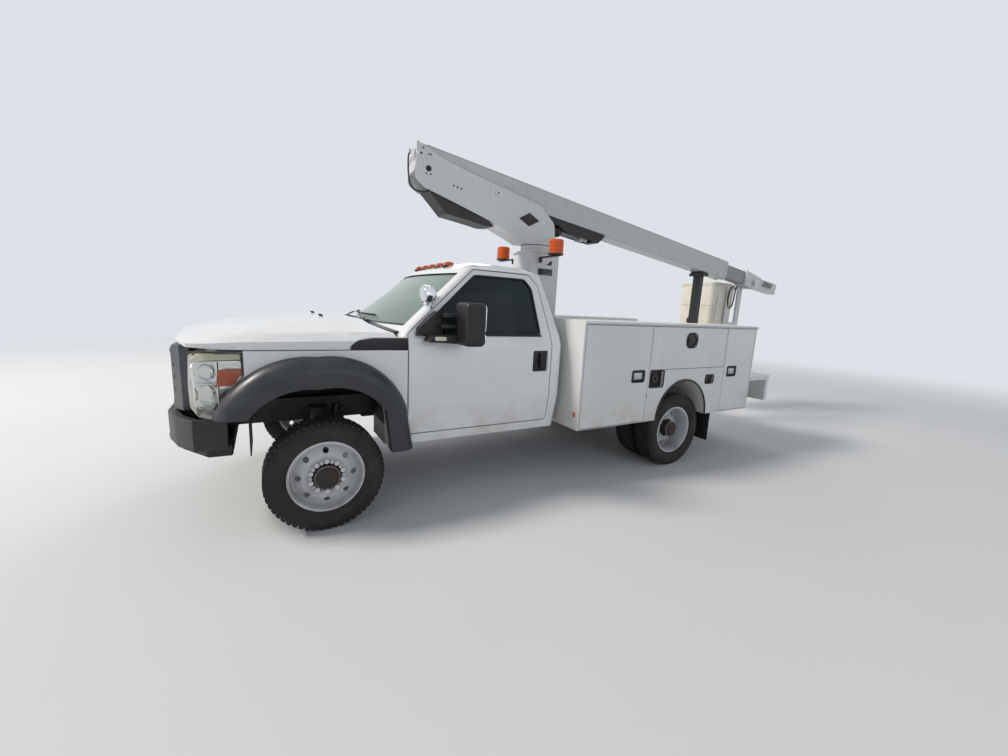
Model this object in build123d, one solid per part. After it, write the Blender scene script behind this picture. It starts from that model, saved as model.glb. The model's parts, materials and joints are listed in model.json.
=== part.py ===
from build123d import *
import math
import os

# Cherry picker truck: a two-seat cab on a ladder frame, a service body with lockers,
# and a telescopic aerial lift on a pedestal behind the cab.
# Millimetres. +X is forward, +Y is the left side, +Z is up.
# Everything is drawn from the front axle line, with the floor at Z = GROUND. When it is written,
# it is moved so that the truck's middle is X = 0 and the floor is Z = 0.

# Driving sizes: chassis
GROUND = -40.0
WHEELBASE = 3581.0
TYRE_R = 406.0
TYRE_W = 226.0
RIM_R = 262.0
FRONT_TRACK_Y = 925.0
REAR_OUTER_Y = 1060.0
DUAL_PITCH = 290.0
KINGPIN_Y = 880.0
AXLE_Z = GROUND + TYRE_R
RAIL_Y = 400.0
RAIL_W = 70.0
RAIL_H = 180.0
RAIL_TOP = 838.0
RAIL_WALL = 9.0
RAIL_FRONT = 800.0
RAIL_REAR = -4790.0
BUMPER_X = 930.0
FIT = 0.05
GAP = 6.0

# Driving sizes: cab
CAB_BASE = 525.0
BELT_Z = 1385.0
COWL_Z = 1440.0
ROOF_EDGE_Z = 1935.0
ROOF_Z = 1988.0
CAB_FRONT = -430.0
CAB_REAR = -2060.0
CAB_HALF = 1005.0
DOOR_FRONT = -590.0
DOOR_REAR = -1925.0
DOOR_BASE = 600.0
DOOR_THICK = 95.0
PILLAR_THICK = 50.0
GLASS = 5.0

# Driving sizes: front sheet metal
HOOD_EDGE_Z = 1276.0
HOOD_REAR = -545.0
HOOD_FRONT = 865.0
HOOD_SIDE_REAR = -540.0
HOOD_MID_REAR = -289.0
HOOD_WALL = 30.0
FENDER_Y = 968.0
FENDER_FRONT = 740.0
FLARE_Y = 1085.0
ARCH_HALF = 452.0
ARCH_TOP = 1020.0
FLARE_HALF = 640.0
FLARE_TOP = 1230.0

# Driving sizes: service body
BODY_FRONT = -2125.0
BODY_LENGTH = 2735.0
BODY_HALF = 1205.0
BODY_BASE = 527.0
BODY_TOP = 1541.0
LOCKER_DEPTH = 510.0
BED_Z = 965.0
SHEET = 25.0
ARCH_BODY_X = -3605.0
ARCH_BODY_Z = 530.0
ARCH_BODY_R = 412.0
LEAF = 28.0
FRONT_LOCKER = 890.0
SIDE_LOCKER_BASE = 1072.0
SIDE_LOCKER_LENGTH = 1240.0
SHELF_LENGTH = 500.0
SHELF_H = 60.0

# Driving sizes: pedestal and lift
PED_X = -2360.0
PED_HALF = 185.0
PED_TOP = 2250.0
RING_R = 180.0
RING_H = 60.0
TURN_GAP = 5.0
TURRET_HALF = 130.0
PLATE = 15.0
PIVOT_X = -951.0
PIVOT_Z = 2963.0
PIVOT_R = 35.0
BOOM_SLOPE = 7.0
BOOM_W = 200.0
BOOM_H = 255.0
BOOM_WALL = 9.0
BOOM_LEN = 4900.0
BOOM_NOSE = 30.0
PIVOT_BELOW_TOP = 105.0
INNER_W = 150.0
INNER_H = 195.0
INNER_WALL = 12.0
INNER_START = 260.0
INNER_LEN = 5170.0
TIP_PIN = 5705.0
TIP_END = 6400.0
BARREL_X = -1265.0
BARREL_Z = 2640.0
ROD_ALONG = 2080.0
ROD_BELOW = 75.0
BARREL_R = 55.0
ROD_R = 32.0
BARREL_LEN = 1330.0
BUCKET = 610.0
BUCKET_H = 1067.0
BUCKET_WALL = 10.0
BUCKET_Y = -455.0
BUCKET_TOP = 2160.0

BODY_REAR = BODY_FRONT - BODY_LENGTH
REAR_X = -WHEELBASE
SLOPE = math.radians(BOOM_SLOPE)
TIP_X = PIVOT_X - TIP_END * math.cos(SLOPE)
CENTRE_X = (BUMPER_X + TIP_X) / 2


os.makedirs("parts", exist_ok=True)
SIDE_VIEW = Plane((0, 0, 0), x_dir=(1, 0, 0), z_dir=(0, -1, 0))


def box(x0, x1, y0, y1, z0, z1):
    return Pos((x0 + x1) / 2, (y0 + y1) / 2, (z0 + z1) / 2) * Box(abs(x1 - x0), abs(y1 - y0), abs(z1 - z0))


def face_of(points):
    return make_face(Polyline(*points, close=True))


def cross_view(x):
    """The plane across the truck at x, drawn in Y and Z."""
    return Plane((x, 0, 0), x_dir=(0, 1, 0), z_dir=(1, 0, 0))


def side_face(face, y0, y1):
    """A face drawn in X and Z, carried across the truck from y0 to y1."""
    return Pos(0, y0, 0) * extrude(SIDE_VIEW * face, amount=y0 - y1)


def side_prism(points, y0, y1, radius=0.0):
    """A side outline in X and Z, drawn across the truck from y0 to y1."""
    face = face_of(points)
    if radius:
        face = fillet(face.vertices(), radius)
    return side_face(face, y0, y1)


def rod_y(x, z, radius, y0, y1):
    return Pos(x, (y0 + y1) / 2, z) * Rot(90, 0, 0) * Cylinder(radius, abs(y1 - y0))


def rod_x(y, z, radius, x0, x1):
    return Pos((x0 + x1) / 2, y, z) * Rot(0, 90, 0) * Cylinder(radius, abs(x1 - x0))


def rod_z(x, y, radius, z0, z1):
    return Pos(x, y, (z0 + z1) / 2) * Cylinder(radius, abs(z1 - z0))


def rod_between(start, end, radius):
    """A round bar on the centre line, between two (X, Z) points."""
    run = math.hypot(end[0] - start[0], end[1] - start[1])
    tilt = math.degrees(math.atan2(end[0] - start[0], end[1] - start[1]))
    middle = Pos((start[0] + end[0]) / 2, 0, (start[1] + end[1]) / 2)
    return middle * Rot(0, tilt, 0) * Cylinder(radius, run)


def both(shape):
    return [shape, mirror(shape, Plane.XZ)]


def solids_of(*shapes):
    found = []
    for shape in shapes:
        if isinstance(shape, (list, tuple)):
            found += solids_of(*shape)
        else:
            found += shape.solids()
    return found


def save(name, *shapes):
    """Writes one node, moved so that the truck's middle is X = 0 and the floor is Z = 0."""
    found = solids_of(*shapes)
    moved = [Pos(-CENTRE_X, 0, -GROUND) * solid for solid in found]
    out = moved[0] if len(moved) == 1 else Compound(children=moved)
    export_step(out, f"parts/{name}.step")


def turned(profile):
    """Revolves a wheel section, drawn as (y, radius) points, about the axle line."""
    points = [(radius, y) for y, radius in profile]
    return Rot(-90, 0, 0) * revolve(Plane.XZ * face_of(points), Axis.Z)


def wheel_at(shape, x, y):
    return Pos(x, y, AXLE_Z) * shape


def boom_frame(shape):
    """Places a shape drawn with X = distance back from the pivot and Z = height over it."""
    return Pos(PIVOT_X, 0, PIVOT_Z) * Rot(0, -BOOM_SLOPE, 0) * mirror(shape, Plane.YZ)


def boom_point(along, below):
    """World X and Z of a point in the boom, below its top face."""
    up = PIVOT_BELOW_TOP - below
    x = PIVOT_X - along * math.cos(SLOPE) + up * -math.sin(SLOPE)
    z = PIVOT_Z - along * math.sin(SLOPE) + up * math.cos(SLOPE)
    return x, z


# Wheels

def tyre():
    half = TYRE_W / 2
    section = [(-half + 18, RIM_R + 2), (-half, RIM_R + 60), (-half + 6, TYRE_R - 40),
               (-half + 26, TYRE_R - 8),
               (-half + 50, TYRE_R), (half - 50, TYRE_R), (half - 26, TYRE_R - 8), (half - 6, TYRE_R - 40),
               (half, RIM_R + 60), (half - 18, RIM_R + 2)]
    return turned(section)


def rim(disc_y):
    """Steel wheel with its disc at disc_y from the tyre's middle, outward positive."""
    half = TYRE_W / 2 - 20
    barrel = turned([(-half, RIM_R), (-half, RIM_R - 16), (-half + 30, RIM_R - 26),
                     (half - 30, RIM_R - 26),
                     (half, RIM_R - 16), (half, RIM_R)])
    disc = turned([(disc_y - 34, RIM_R - 14), (disc_y - 34, RIM_R - 40), (disc_y, RIM_R - 92),
                   (disc_y, 85),
                   (disc_y - 12, 85), (disc_y - 12, RIM_R - 98), (disc_y - 46, RIM_R - 46),
                   (disc_y - 46, RIM_R - 14)])
    holes = [Rot(0, 360 / 8 * i, 0) * Pos(RIM_R - 76, disc_y - 20, 0) * Rot(90, 0, 0) * Cylinder(21, 90)
             for i in range(8)]
    return barrel + (disc - holes)


def hub(disc_y, reach):
    """Hub with its lugs, seated on the disc's outer face."""
    drum = turned([(disc_y - 70, 0), (disc_y - 70, 84.5), (disc_y + reach - 10, 84.5),
                   (disc_y + reach, 70),
                   (disc_y + reach, 0)])
    ring = turned([(disc_y, 80), (disc_y + 8, 80), (disc_y + 8, 130), (disc_y, 130)])
    lugs = [Rot(0, 36 * i, 0) * Pos(112.5, disc_y + 20, 0) * Rot(90, 0, 0) * Cylinder(13, 30)
            for i in range(10)]
    return drum + ring + lugs


FRONT_DISC = 60.0
OUTER_DISC = -40.0
for side, sign in (("left", 1), ("right", -1)):
    turn = Rot(0, 0, 90 - 90 * sign)
    save(f"front_tyre_{side}", wheel_at(tyre(), 0, sign * FRONT_TRACK_Y))
    save(f"front_wheel_{side}", wheel_at(turn * (rim(FRONT_DISC) + hub(FRONT_DISC, 60)), 0,
                                         sign * FRONT_TRACK_Y))
    outer = Pos(REAR_X, sign * REAR_OUTER_Y, AXLE_Z)
    inner = Pos(REAR_X, sign * (REAR_OUTER_Y - DUAL_PITCH), AXLE_Z)
    save(f"rear_tyres_{side}", outer * tyre(), inner * tyre())
    outer_rim = turn * (rim(OUTER_DISC) + hub(OUTER_DISC, 110))
    inner_rim = turn * (Rot(0, 0, 180) * rim(OUTER_DISC))
    drum = turn * turned([(-DUAL_PITCH + OUTER_DISC - 80, 0), (-DUAL_PITCH + OUTER_DISC - 80, 84.5),
                          (OUTER_DISC - 60, 84.5), (OUTER_DISC - 60, 0)])
    link = turn * turned([(-DUAL_PITCH - OUTER_DISC - 2, 60), (-DUAL_PITCH - OUTER_DISC - 2, 140),
                          (OUTER_DISC - 10, 140), (OUTER_DISC - 10, 60)])
    save(f"rear_wheels_{side}", outer * (outer_rim + link + drum) + inner * inner_rim)

# Axles, springs and steering

BEAM_END = KINGPIN_Y - 60.0
YOKE_LOW = 105.0
YOKE_HIGH = 135.0
PIN_R = 20.0
axle_beam = box(-45, 45, -BEAM_END, BEAM_END, AXLE_Z - 60, AXLE_Z + 60)
axle_beam += Pos(0, 150, AXLE_Z) * Sphere(150)
for s in (1, -1):
    axle_beam += box(-45, 45, s * (BEAM_END - 50), s * BEAM_END, AXLE_Z - YOKE_HIGH, AXLE_Z + YOKE_HIGH)
    for z0, z1 in ((AXLE_Z - YOKE_HIGH, AXLE_Z - YOKE_LOW), (AXLE_Z + YOKE_LOW, AXLE_Z + YOKE_HIGH)):
        axle_beam += rod_z(0, s * KINGPIN_Y, 32, z0, z1) + box(-32, 32, s * (BEAM_END - 40), s * KINGPIN_Y,
                                                               z0, z1)
    axle_beam -= rod_z(0, s * KINGPIN_Y, PIN_R + FIT, AXLE_Z - 150, AXLE_Z + 150)
save("front_axle", axle_beam)

for side, sign in (("left", 1), ("right", -1)):
    body = rod_z(0, sign * KINGPIN_Y, 28, AXLE_Z - YOKE_LOW + 5, AXLE_Z + YOKE_LOW - 5)
    body += rod_z(0, sign * KINGPIN_Y, PIN_R, AXLE_Z - YOKE_HIGH, AXLE_Z + YOKE_HIGH)
    disc_in = FRONT_TRACK_Y + FRONT_DISC - 70 - GAP
    body += rod_y(0, AXLE_Z, 40, sign * KINGPIN_Y, sign * disc_in)
    save(f"knuckle_{side}", body)

rear_axle = rod_y(REAR_X, AXLE_Z, 65, -(REAR_OUTER_Y - DUAL_PITCH - 130), REAR_OUTER_Y - DUAL_PITCH - 130)
rear_axle += Pos(REAR_X, 0, AXLE_Z) * Sphere(190)
PINION = 260.0
rear_axle += rod_x(0, AXLE_Z + 20, 60, REAR_X + 150, REAR_X + PINION - 12)
SPRING_Y = 530.0
rear_axle += [box(REAR_X - 70, REAR_X + 70, s * (SPRING_Y - 45), s * (SPRING_Y + 45), AXLE_Z, AXLE_Z + 90)
              for s in (1, -1)]
save("rear_axle", rear_axle)

LEAF_SPAN = 700.0
leaves = []
for s in (1, -1):
    pack = box(REAR_X - LEAF_SPAN, REAR_X + LEAF_SPAN, s * (SPRING_Y - 38), s * (SPRING_Y + 38),
               AXLE_Z + 160, AXLE_Z + 176)
    for share in (0.8, 0.6, 0.4):
        drop = (1 - share) * 70
        pack += box(REAR_X - LEAF_SPAN * share, REAR_X + LEAF_SPAN * share, s * (SPRING_Y - 38),
                    s * (SPRING_Y + 38),
                    AXLE_Z + 160 - drop, AXLE_Z + 176)
    pack += box(REAR_X - 60, REAR_X + 60, s * (SPRING_Y - 38), s * (SPRING_Y + 38), AXLE_Z + 90,
                AXLE_Z + 176)
    for end in (-1, 1):
        x = REAR_X + end * LEAF_SPAN
        pack += box(x - 30, x + 30, s * (RAIL_Y + RAIL_W), s * (SPRING_Y + 38), AXLE_Z + 160, AXLE_Z + 330)
    leaves.append(pack)
COIL_Y = 545.0
for s in (1, -1):
    leaves.append(rod_z(0, s * COIL_Y, 62, AXLE_Z + 60, RAIL_TOP - 60)
                  + box(-62, 62, s * (RAIL_Y + RAIL_W), s * COIL_Y, RAIL_TOP - 100, RAIL_TOP - 60))
save("springs", leaves)

# Frame, engine and running gear

rails = []
for s in (1, -1):
    rail = box(RAIL_REAR, RAIL_FRONT, s * RAIL_Y, s * (RAIL_Y + RAIL_W), RAIL_TOP - RAIL_H, RAIL_TOP)
    rail -= box(RAIL_REAR - 1, RAIL_FRONT + 1, s * (RAIL_Y - 1), s * (RAIL_Y + RAIL_W - RAIL_WALL),
                RAIL_TOP - RAIL_H + RAIL_WALL, RAIL_TOP - RAIL_WALL)
    rails.append(rail)
frame = rails[0] + rails[1]
CROSS = (RAIL_REAR + 40, -3950.0, REAR_X + 350, -2700.0, -1800.0, -1380.0, RAIL_FRONT - 60)
for x in CROSS:
    frame += box(x - 35, x + 35, -(RAIL_Y + RAIL_W - RAIL_WALL), RAIL_Y + RAIL_W - RAIL_WALL,
                 RAIL_TOP - 150, RAIL_TOP - RAIL_WALL)
save("frame_rails", frame)

ENGINE_REAR = -400.0
engine = box(ENGINE_REAR, 480, -330, 330, 620, 1230)
engine += box(-1300, ENGINE_REAR, -190, 190, 560, 830)
save("engine_block", engine)
SHAFT_FRONT = (-1315.0, 640.0)
SHAFT_REAR = (REAR_X + PINION, AXLE_Z + 20)
save("driveshaft", rod_between(SHAFT_FRONT, SHAFT_REAR, 50))

EXHAUST_Y = -290.0
pipe = rod_x(EXHAUST_Y, 620, 38, -1950, -640)
pipe += rod_x(EXHAUST_Y, 620, 95, -2600, -1950)
pipe += rod_x(EXHAUST_Y, 620, 38, -3000, -2600)
save("exhaust", pipe)
save("fuel_tank", fillet(box(-4700, -4030, -300, 300, 480, 780).edges().filter_by(Axis.Y), 50))

# Cab shell: outlines in plan, one row per level, joined by straight walls

# Columns: height, front X, bow of the front, half width, rear X, front corner along and across,
# wall at the sides, wall at the front and rear
CAB_SECTIONS = (
    (CAB_BASE, CAB_FRONT, 4.0, 960.0, CAB_REAR + 15, 70.0, 70.0, DOOR_THICK, 40.0),
    (830.0, CAB_FRONT, 4.0, CAB_HALF, CAB_REAR, 70.0, 70.0, DOOR_THICK, 40.0),
    (1300.0, -530.0, 60.0, CAB_HALF, CAB_REAR, 60.0, 20.0, DOOR_THICK, 40.0),
    (BELT_Z, -550.0, 205.0, 972.0, CAB_REAR, 45.0, 30.0, 80.0, 40.0),
    (COWL_Z, -590.0, 225.0, 956.3, CAB_REAR + 17.5, 50.0, 40.0, 77.0, 40.0),
    (ROOF_EDGE_Z, -1120.0, 105.0, 815.0, CAB_REAR + 175, 60.0, 60.0, PILLAR_THICK, 45.0),
    (ROOF_Z, -1210.0, 60.0, 700.0, CAB_REAR + 300, 60.0, 60.0, 30.0, 30.0),
)
CORNER = 70.0
COWL_HALF = 940.0


def cab_outline(z, front, bow, half, rear, along, across, side_wall=0.0, end_wall=0.0):
    f = front - end_wall
    r = rear + end_wall
    h = half - side_wall
    c = CORNER
    mid = 0.293
    a = (f, h - across)
    b = (f - along, h)
    d = (r + c, h)
    e = (r, h - c)
    edges = [
        ThreePointArc((f, -(h - across)), (f + bow, 0), a),
        ThreePointArc(a, (f - mid * along, h - mid * across), b),
        Line(b, d),
        ThreePointArc(d, (r + mid * c, h - mid * c), e),
        Line(e, (r, -(h - c))),
        ThreePointArc((r, -(h - c)), (r + mid * c, -(h - mid * c)), (r + c, -h)),
        Line((r + c, -h), (f - along, -h)),
        ThreePointArc((f - along, -h), (f - mid * along, -(h - mid * across)), (f, -(h - across))),
    ]
    return Pos(0, 0, z) * make_face(Curve() + edges)


def cab_solid(rows):
    return loft(rows, ruled=True)


cab_outer = cab_solid([cab_outline(*row[:7]) for row in CAB_SECTIONS])
inner_rows = []
for row in CAB_SECTIONS:
    z = row[0]
    if row is CAB_SECTIONS[0]:
        z = row[0] + 35
    if row is CAB_SECTIONS[-1]:
        z = row[0] - 45
    if row is CAB_SECTIONS[-2]:
        z = row[0] - 12
    inner_rows.append(cab_outline(z, *row[1:7], side_wall=row[7], end_wall=row[8]))
cab_inner = cab_solid(inner_rows)
cab_shell = cab_outer - cab_inner

DOOR_TOP = ROOF_EDGE_Z - 10
DOOR_OUTLINE = ((DOOR_FRONT, DOOR_BASE), (DOOR_FRONT, BELT_Z + 10), (-1190.0, DOOR_TOP),
                (-1740.0, DOOR_TOP),
                (-1830.0, 1830.0), (DOOR_REAR, BELT_Z), (DOOR_REAR, DOOR_BASE))
WINDOW_OUTLINE = ((-690.0, BELT_Z + 4), (-725.0, 1455.0), (-1195.0, 1878.0), (-1690.0, 1878.0),
                  (-1760.0, 1800.0),
                  (-1815.0, BELT_Z + 4))

door_line = fillet(face_of(DOOR_OUTLINE).vertices(), 40)
door_face = offset(door_line, amount=-GAP / 2)
door_hole = offset(door_line, amount=GAP / 2)
window_face = fillet(face_of(WINDOW_OUTLINE).vertices(), 30)

# REACH and TALL carry a cut past the cab's side and over its roof
REACH = CAB_HALF + 60
TALL = ROOF_Z + 200
for s in (1, -1):
    y0, y1 = sorted((s * 600, s * REACH))
    cab_shell -= side_face(door_hole, y0, y1)
    cab_shell -= box(DOOR_FRONT - 2, 0, s * COWL_HALF, s * REACH, 0, HOOD_EDGE_Z + 2)

# The floor lies over the frame rails, with a box sill at each side
SILL_IN = 560.0
SILL_OUT = CAB_HALF - DOOR_THICK - 50
FLOOR_Z = RAIL_TOP + 12
FLOOR_T = 30.0
SILL_T = 25.0
INTO_WALL = 20.0
floor_rear = CAB_REAR + INTO_WALL
floor_front = CAB_FRONT - INTO_WALL
cab_shell -= box(CAB_REAR - 10, 0, -SILL_IN, SILL_IN, 400, FLOOR_Z)
cab_shell += box(floor_rear, floor_front, -SILL_OUT, SILL_OUT, FLOOR_Z, FLOOR_Z + FLOOR_T)
for s in (1, -1):
    for y in (SILL_IN, SILL_OUT - SILL_T):
        cab_shell += box(floor_rear, floor_front, s * y, s * (y + SILL_T), CAB_BASE + 30, FLOOR_Z + 5)


def skin(rows, inset0, inset1):
    """A thin skin of the cab between two insets from its outside."""
    a = cab_solid([cab_outline(*row[:7], side_wall=inset0, end_wall=inset0) for row in rows])
    b = cab_solid([cab_outline(*row[:7], side_wall=inset1, end_wall=inset1) for row in rows])
    return a - b


GLASS_IN = 18.0
glass_skin = skin(CAB_SECTIONS[2:], GLASS_IN, GLASS_IN + GLASS)
SCREEN_BASE_Z = 1448.0
SCREEN_TOP_Z = 1890.0
screen_zone = side_prism(((-250.0, SCREEN_BASE_Z), (-700.0, SCREEN_BASE_Z), (-1200.0, SCREEN_TOP_Z),
                          (-900.0, SCREEN_TOP_Z)), -900, 900)
SCREEN_PLAN = ((-300.0, 940.0), (-1200.0, 742.0), (-1200.0, -742.0), (-300.0, -940.0))
screen_zone &= extrude(face_of(SCREEN_PLAN), amount=TALL)
rear_zone = box(CAB_REAR - 50, CAB_REAR + 260, -640, 640, 1470, 1830)
rear_zone = fillet(rear_zone.edges().filter_by(Axis.X), 60)
windscreen = glass_skin & screen_zone
rear_glass = glass_skin & rear_zone
cab_shell -= screen_zone
cab_shell -= rear_zone

# Black vent in the hood's side and the cab's corner: a shallow pocket behind its outline
VENT = ((-172.0, 1262.0), (-180.0, 1305.0), (-235.0, 1345.0), (-330.0, 1362.0), (-620.0, 1364.0),
        (-620.0, 1262.0))
VENT_IN = 964.0
vent_zone = side_prism(VENT, VENT_IN, VENT_IN + 100)
vents = both(vent_zone)
cab_shell -= vents
save("cab_shell", cab_shell)
save("cab_glass", windscreen, rear_glass)

# Doors: the same wall, cut to the door's outline, with the window opening cut through

SIDE_ROWS = CAB_SECTIONS[:6]


def side_wall(outside, inside):
    """The left side wall between two insets, straight along the cab; one inset pair per level."""
    points = [(row[3] - a, row[0]) for row, a in zip(SIDE_ROWS, outside)]
    points += [(row[3] - b, row[0]) for row, b in zip(reversed(SIDE_ROWS), reversed(inside))]
    return extrude(cross_view(DOOR_REAR - 50) * face_of(points), amount=DOOR_FRONT - DOOR_REAR + 100)


window_zone = side_face(window_face, 600, REACH)
levels = len(SIDE_ROWS)
door = side_wall([0.0] * levels, [row[7] for row in SIDE_ROWS]) & side_face(door_face, 600, REACH)
door -= window_zone
HANDLE_DEPTH = 20.0
HANDLE = ((-1886.0, 1068.0), (-1727.0, 1068.0), (-1727.0, 1255.0), (-1886.0, 1255.0))
door -= side_prism(HANDLE, CAB_HALF - HANDLE_DEPTH, REACH, 15)
door_glass = side_wall([GLASS_IN] * levels, [GLASS_IN + GLASS] * levels) & window_zone

# Mirrors: a foot on the door's front corner, two arms, a lower arm and the head
MIRROR_FOOT = ((-650.0, 1385.0), (-660.0, 1440.0), (-800.0, 1570.0), (-850.0, 1570.0), (-850.0, 1385.0))
MIRROR_LOW_ARM = ((-700.0, 1345.0), (-730.0, 1395.0), (-1040.0, 1400.0), (-1060.0, 1345.0),
                  (-960.0, 1330.0))
mirror_foot = side_prism(MIRROR_FOOT, 940, 1025)
arms = box(-1000, -810, 1000, 1120, 1450, 1475) + box(-1000, -830, 1000, 1120, 1530, 1555)
arms += side_prism(MIRROR_LOW_ARM, 1010, 1130)
head = fillet(box(-1085, -925, 1075, 1310, 1325, 1650).edges(), 35)
mirror_unit = (mirror_foot + arms + head) - cab_outer
for side, flip in (("left", False), ("right", True)):
    for name, shape in ((f"door_{side}", door), (f"door_glass_{side}", door_glass),
                        (f"mirror_{side}", mirror_unit)):
        save(name, mirror(shape, Plane.XZ) if flip else shape)

# Cab interior
SEAT_REAR = CAB_REAR + 210
SEAT_HALF = 760.0
SEAT_BACK = ((SEAT_REAR - 40, 1110.0), (SEAT_REAR + 60, 1080.0), (SEAT_REAR + 40, 1660.0),
             (SEAT_REAR - 40, 1660.0))
seat = fillet(box(SEAT_REAR, -1180, -SEAT_HALF, SEAT_HALF, 930, 1130).edges().filter_by(Axis.Y), 40)
seat += side_prism(SEAT_BACK, -SEAT_HALF, SEAT_HALF)
seat += box(SEAT_REAR + 60, -1250, -SEAT_HALF + 60, SEAT_HALF - 60, FLOOR_Z + FLOOR_T, 960)
save("bench_seat", seat)
DASH = ((-480.0, 1080.0), (-480.0, 1380.0), (-700.0, 1396.0), (-800.0, 1330.0), (-780.0, 1120.0),
        (-640.0, 1040.0))
DASH_HALF = 840.0
dash = side_prism(DASH, -DASH_HALF, DASH_HALF) & cab_inner
steering = Pos(-985, 430, 1255) * Rot(0, -62, 0)
STEERING_R = 190.0
COLUMN_LEN = 280.0
dash += steering * Torus(STEERING_R, 15)
dash += steering * (Box(36, 2 * STEERING_R - 5, 22) + Cylinder(55, 40))
dash += steering * Pos(0, 0, -COLUMN_LEN / 2) * Cylinder(30, COLUMN_LEN)
save("dashboard", dash)

# Hood: cross sections along X, then an inner copy cuts it hollow

# Columns: X, half width, edge height, shoulder height, crease height, centre height
HOOD_SECTIONS = (
    (HOOD_FRONT, 560.0, 1296.0, 1322.0, 1338.0, 1353.0),
    (775.0, 862.0, 1288.0, 1330.0, 1352.0, 1374.0),
    (640.0, 930.0, 1280.0, 1352.0, 1380.0, 1408.0),
    (450.0, 955.0, HOOD_EDGE_Z, 1378.0, 1415.0, 1440.0),
    (-170.0, 972.0, HOOD_EDGE_Z, 1398.0, 1448.0, 1488.0),
    (HOOD_REAR, 988.0, HOOD_EDGE_Z, 1396.0, 1440.0, 1474.0),
)


def hood_outline(x, half, edge, shoulder, crease, centre, drop=0.0, inset=0.0):
    h = half - inset
    points = [(h, edge - drop), (h, (edge + shoulder) / 2 - drop * 0.5), (h - 75, shoulder - drop),
              (h * 0.62, crease - drop), (h * 0.5, centre - 8 - drop), (0, centre - drop),
              (-h * 0.5, centre - 8 - drop), (-h * 0.62, crease - drop), (-(h - 75), shoulder - drop),
              (-h, (edge + shoulder) / 2 - drop * 0.5), (-h, edge - drop)]
    return cross_view(x) * face_of(points)


hood = loft([hood_outline(*row) for row in HOOD_SECTIONS], ruled=True)
inner_hood = loft([hood_outline(*row, drop=HOOD_WALL, inset=HOOD_WALL) for row in HOOD_SECTIONS],
                  ruled=True)
hood -= inner_hood & box(HOOD_REAR - 100, HOOD_FRONT - 60, -1200, 1200, 0, 2000)
HOOD_GAP = 8.0
hood -= cab_solid([cab_outline(row[0], row[1] + HOOD_GAP, *row[2:7]) for row in CAB_SECTIONS])
PLAN_HALF = 1000.0
rear_edge = ThreePointArc((HOOD_SIDE_REAR, -PLAN_HALF), (HOOD_MID_REAR, 0), (HOOD_SIDE_REAR, PLAN_HALF))
hood_plan = make_face(Curve() + [rear_edge, Line((HOOD_SIDE_REAR, PLAN_HALF), (1000, PLAN_HALF)),
                                 Line((1000, PLAN_HALF), (1000, -PLAN_HALF)),
                                 Line((1000, -PLAN_HALF), (HOOD_SIDE_REAR, -PLAN_HALF))])
hood &= extrude(hood_plan, amount=TALL)
hood -= vents
save("hood", hood)

# Cowl panel between the hood and the windscreen, crowned like the hood
COWL_THICK = 20.0
COWL_LINE = ((-900.0, 1405.0), (-560.0, 1446.0), (0.0, 1466.0), (560.0, 1446.0), (900.0, 1405.0))
cowl_face = face_of([*COWL_LINE, *[(y, z - COWL_THICK) for y, z in reversed(COWL_LINE)]])
cowl = extrude(cross_view(-700) * cowl_face, amount=500)
cowl -= extrude(Pos(-HOOD_GAP, 0, 0) * hood_plan, amount=TALL)
cowl -= cab_outer
save("cowl_panel", cowl)

# Front fenders with their wheel arches

FENDER_REAR = DOOR_FRONT + GAP
FENDER_IN = 600.0
FENDER_OUT = 1100.0
FENDER_PLAN = ((FENDER_REAR, 700.0), (FENDER_REAR, CAB_HALF - 2), (-420.0, FENDER_Y + 12),
               (450.0, FENDER_Y),
               (FENDER_FRONT - 60, 945.0), (FENDER_FRONT, 905.0), (FENDER_FRONT, 700.0))
FENDER_SIDE = ((FENDER_REAR, 530.0), (FENDER_REAR, 1270.0), (FENDER_FRONT, 1270.0), (FENDER_FRONT, 840.0),
               (465.0, 840.0), (300.0, 530.0))
fender = extrude(face_of(FENDER_PLAN), amount=TALL) & side_prism(FENDER_SIDE, FENDER_IN, FENDER_OUT)
fender -= box(DOOR_FRONT - 60, FENDER_FRONT - 300, FENDER_IN, COWL_HALF + 5, 400, 1235)
fender -= box(DOOR_FRONT - 60, CAB_FRONT + 32, FENDER_IN, COWL_HALF + 5, 400, 1300)


ARCH_KNEE = 330.0
ARCH_CROWN_X = 40.0


def arch_face(half, top, base, front_x, front_z):
    """Wheel arch outline: two arcs over the wheel, sloping out to the foot behind, level in front."""
    knee = (-half * 0.91, base + ARCH_KNEE)
    crown = (ARCH_CROWN_X, top)
    foot = (front_x, front_z)
    back_by = (-half * 0.56, knee[1] + (top - knee[1]) * 0.76)
    ahead_by = (ARCH_CROWN_X + (front_x - ARCH_CROWN_X) * 0.66, front_z + (top - front_z) * 0.72)
    return (Line((-half, base), knee), ThreePointArc(knee, back_by, crown),
            ThreePointArc(crown, ahead_by, foot))


ARCH_FRONT = 462.0
ARCH_FRONT_Z = 843.0
ARCH_REAR_Z = 500.0
ARCH_FOOT = 300.0


def arch_opening(grow):
    """The open area under the arch, widened by grow."""
    half = ARCH_HALF + grow
    front = ARCH_FRONT + grow
    edges = list(arch_face(half, ARCH_TOP + grow, ARCH_REAR_Z, front, ARCH_FRONT_Z))
    edges += [Line((front, ARCH_FRONT_Z), (front, ARCH_FOOT)),
              Line((front, ARCH_FOOT), (-half, ARCH_FOOT)),
              Line((-half, ARCH_FOOT), (-half, ARCH_REAR_Z))]
    return make_face(Curve() + edges)


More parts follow.
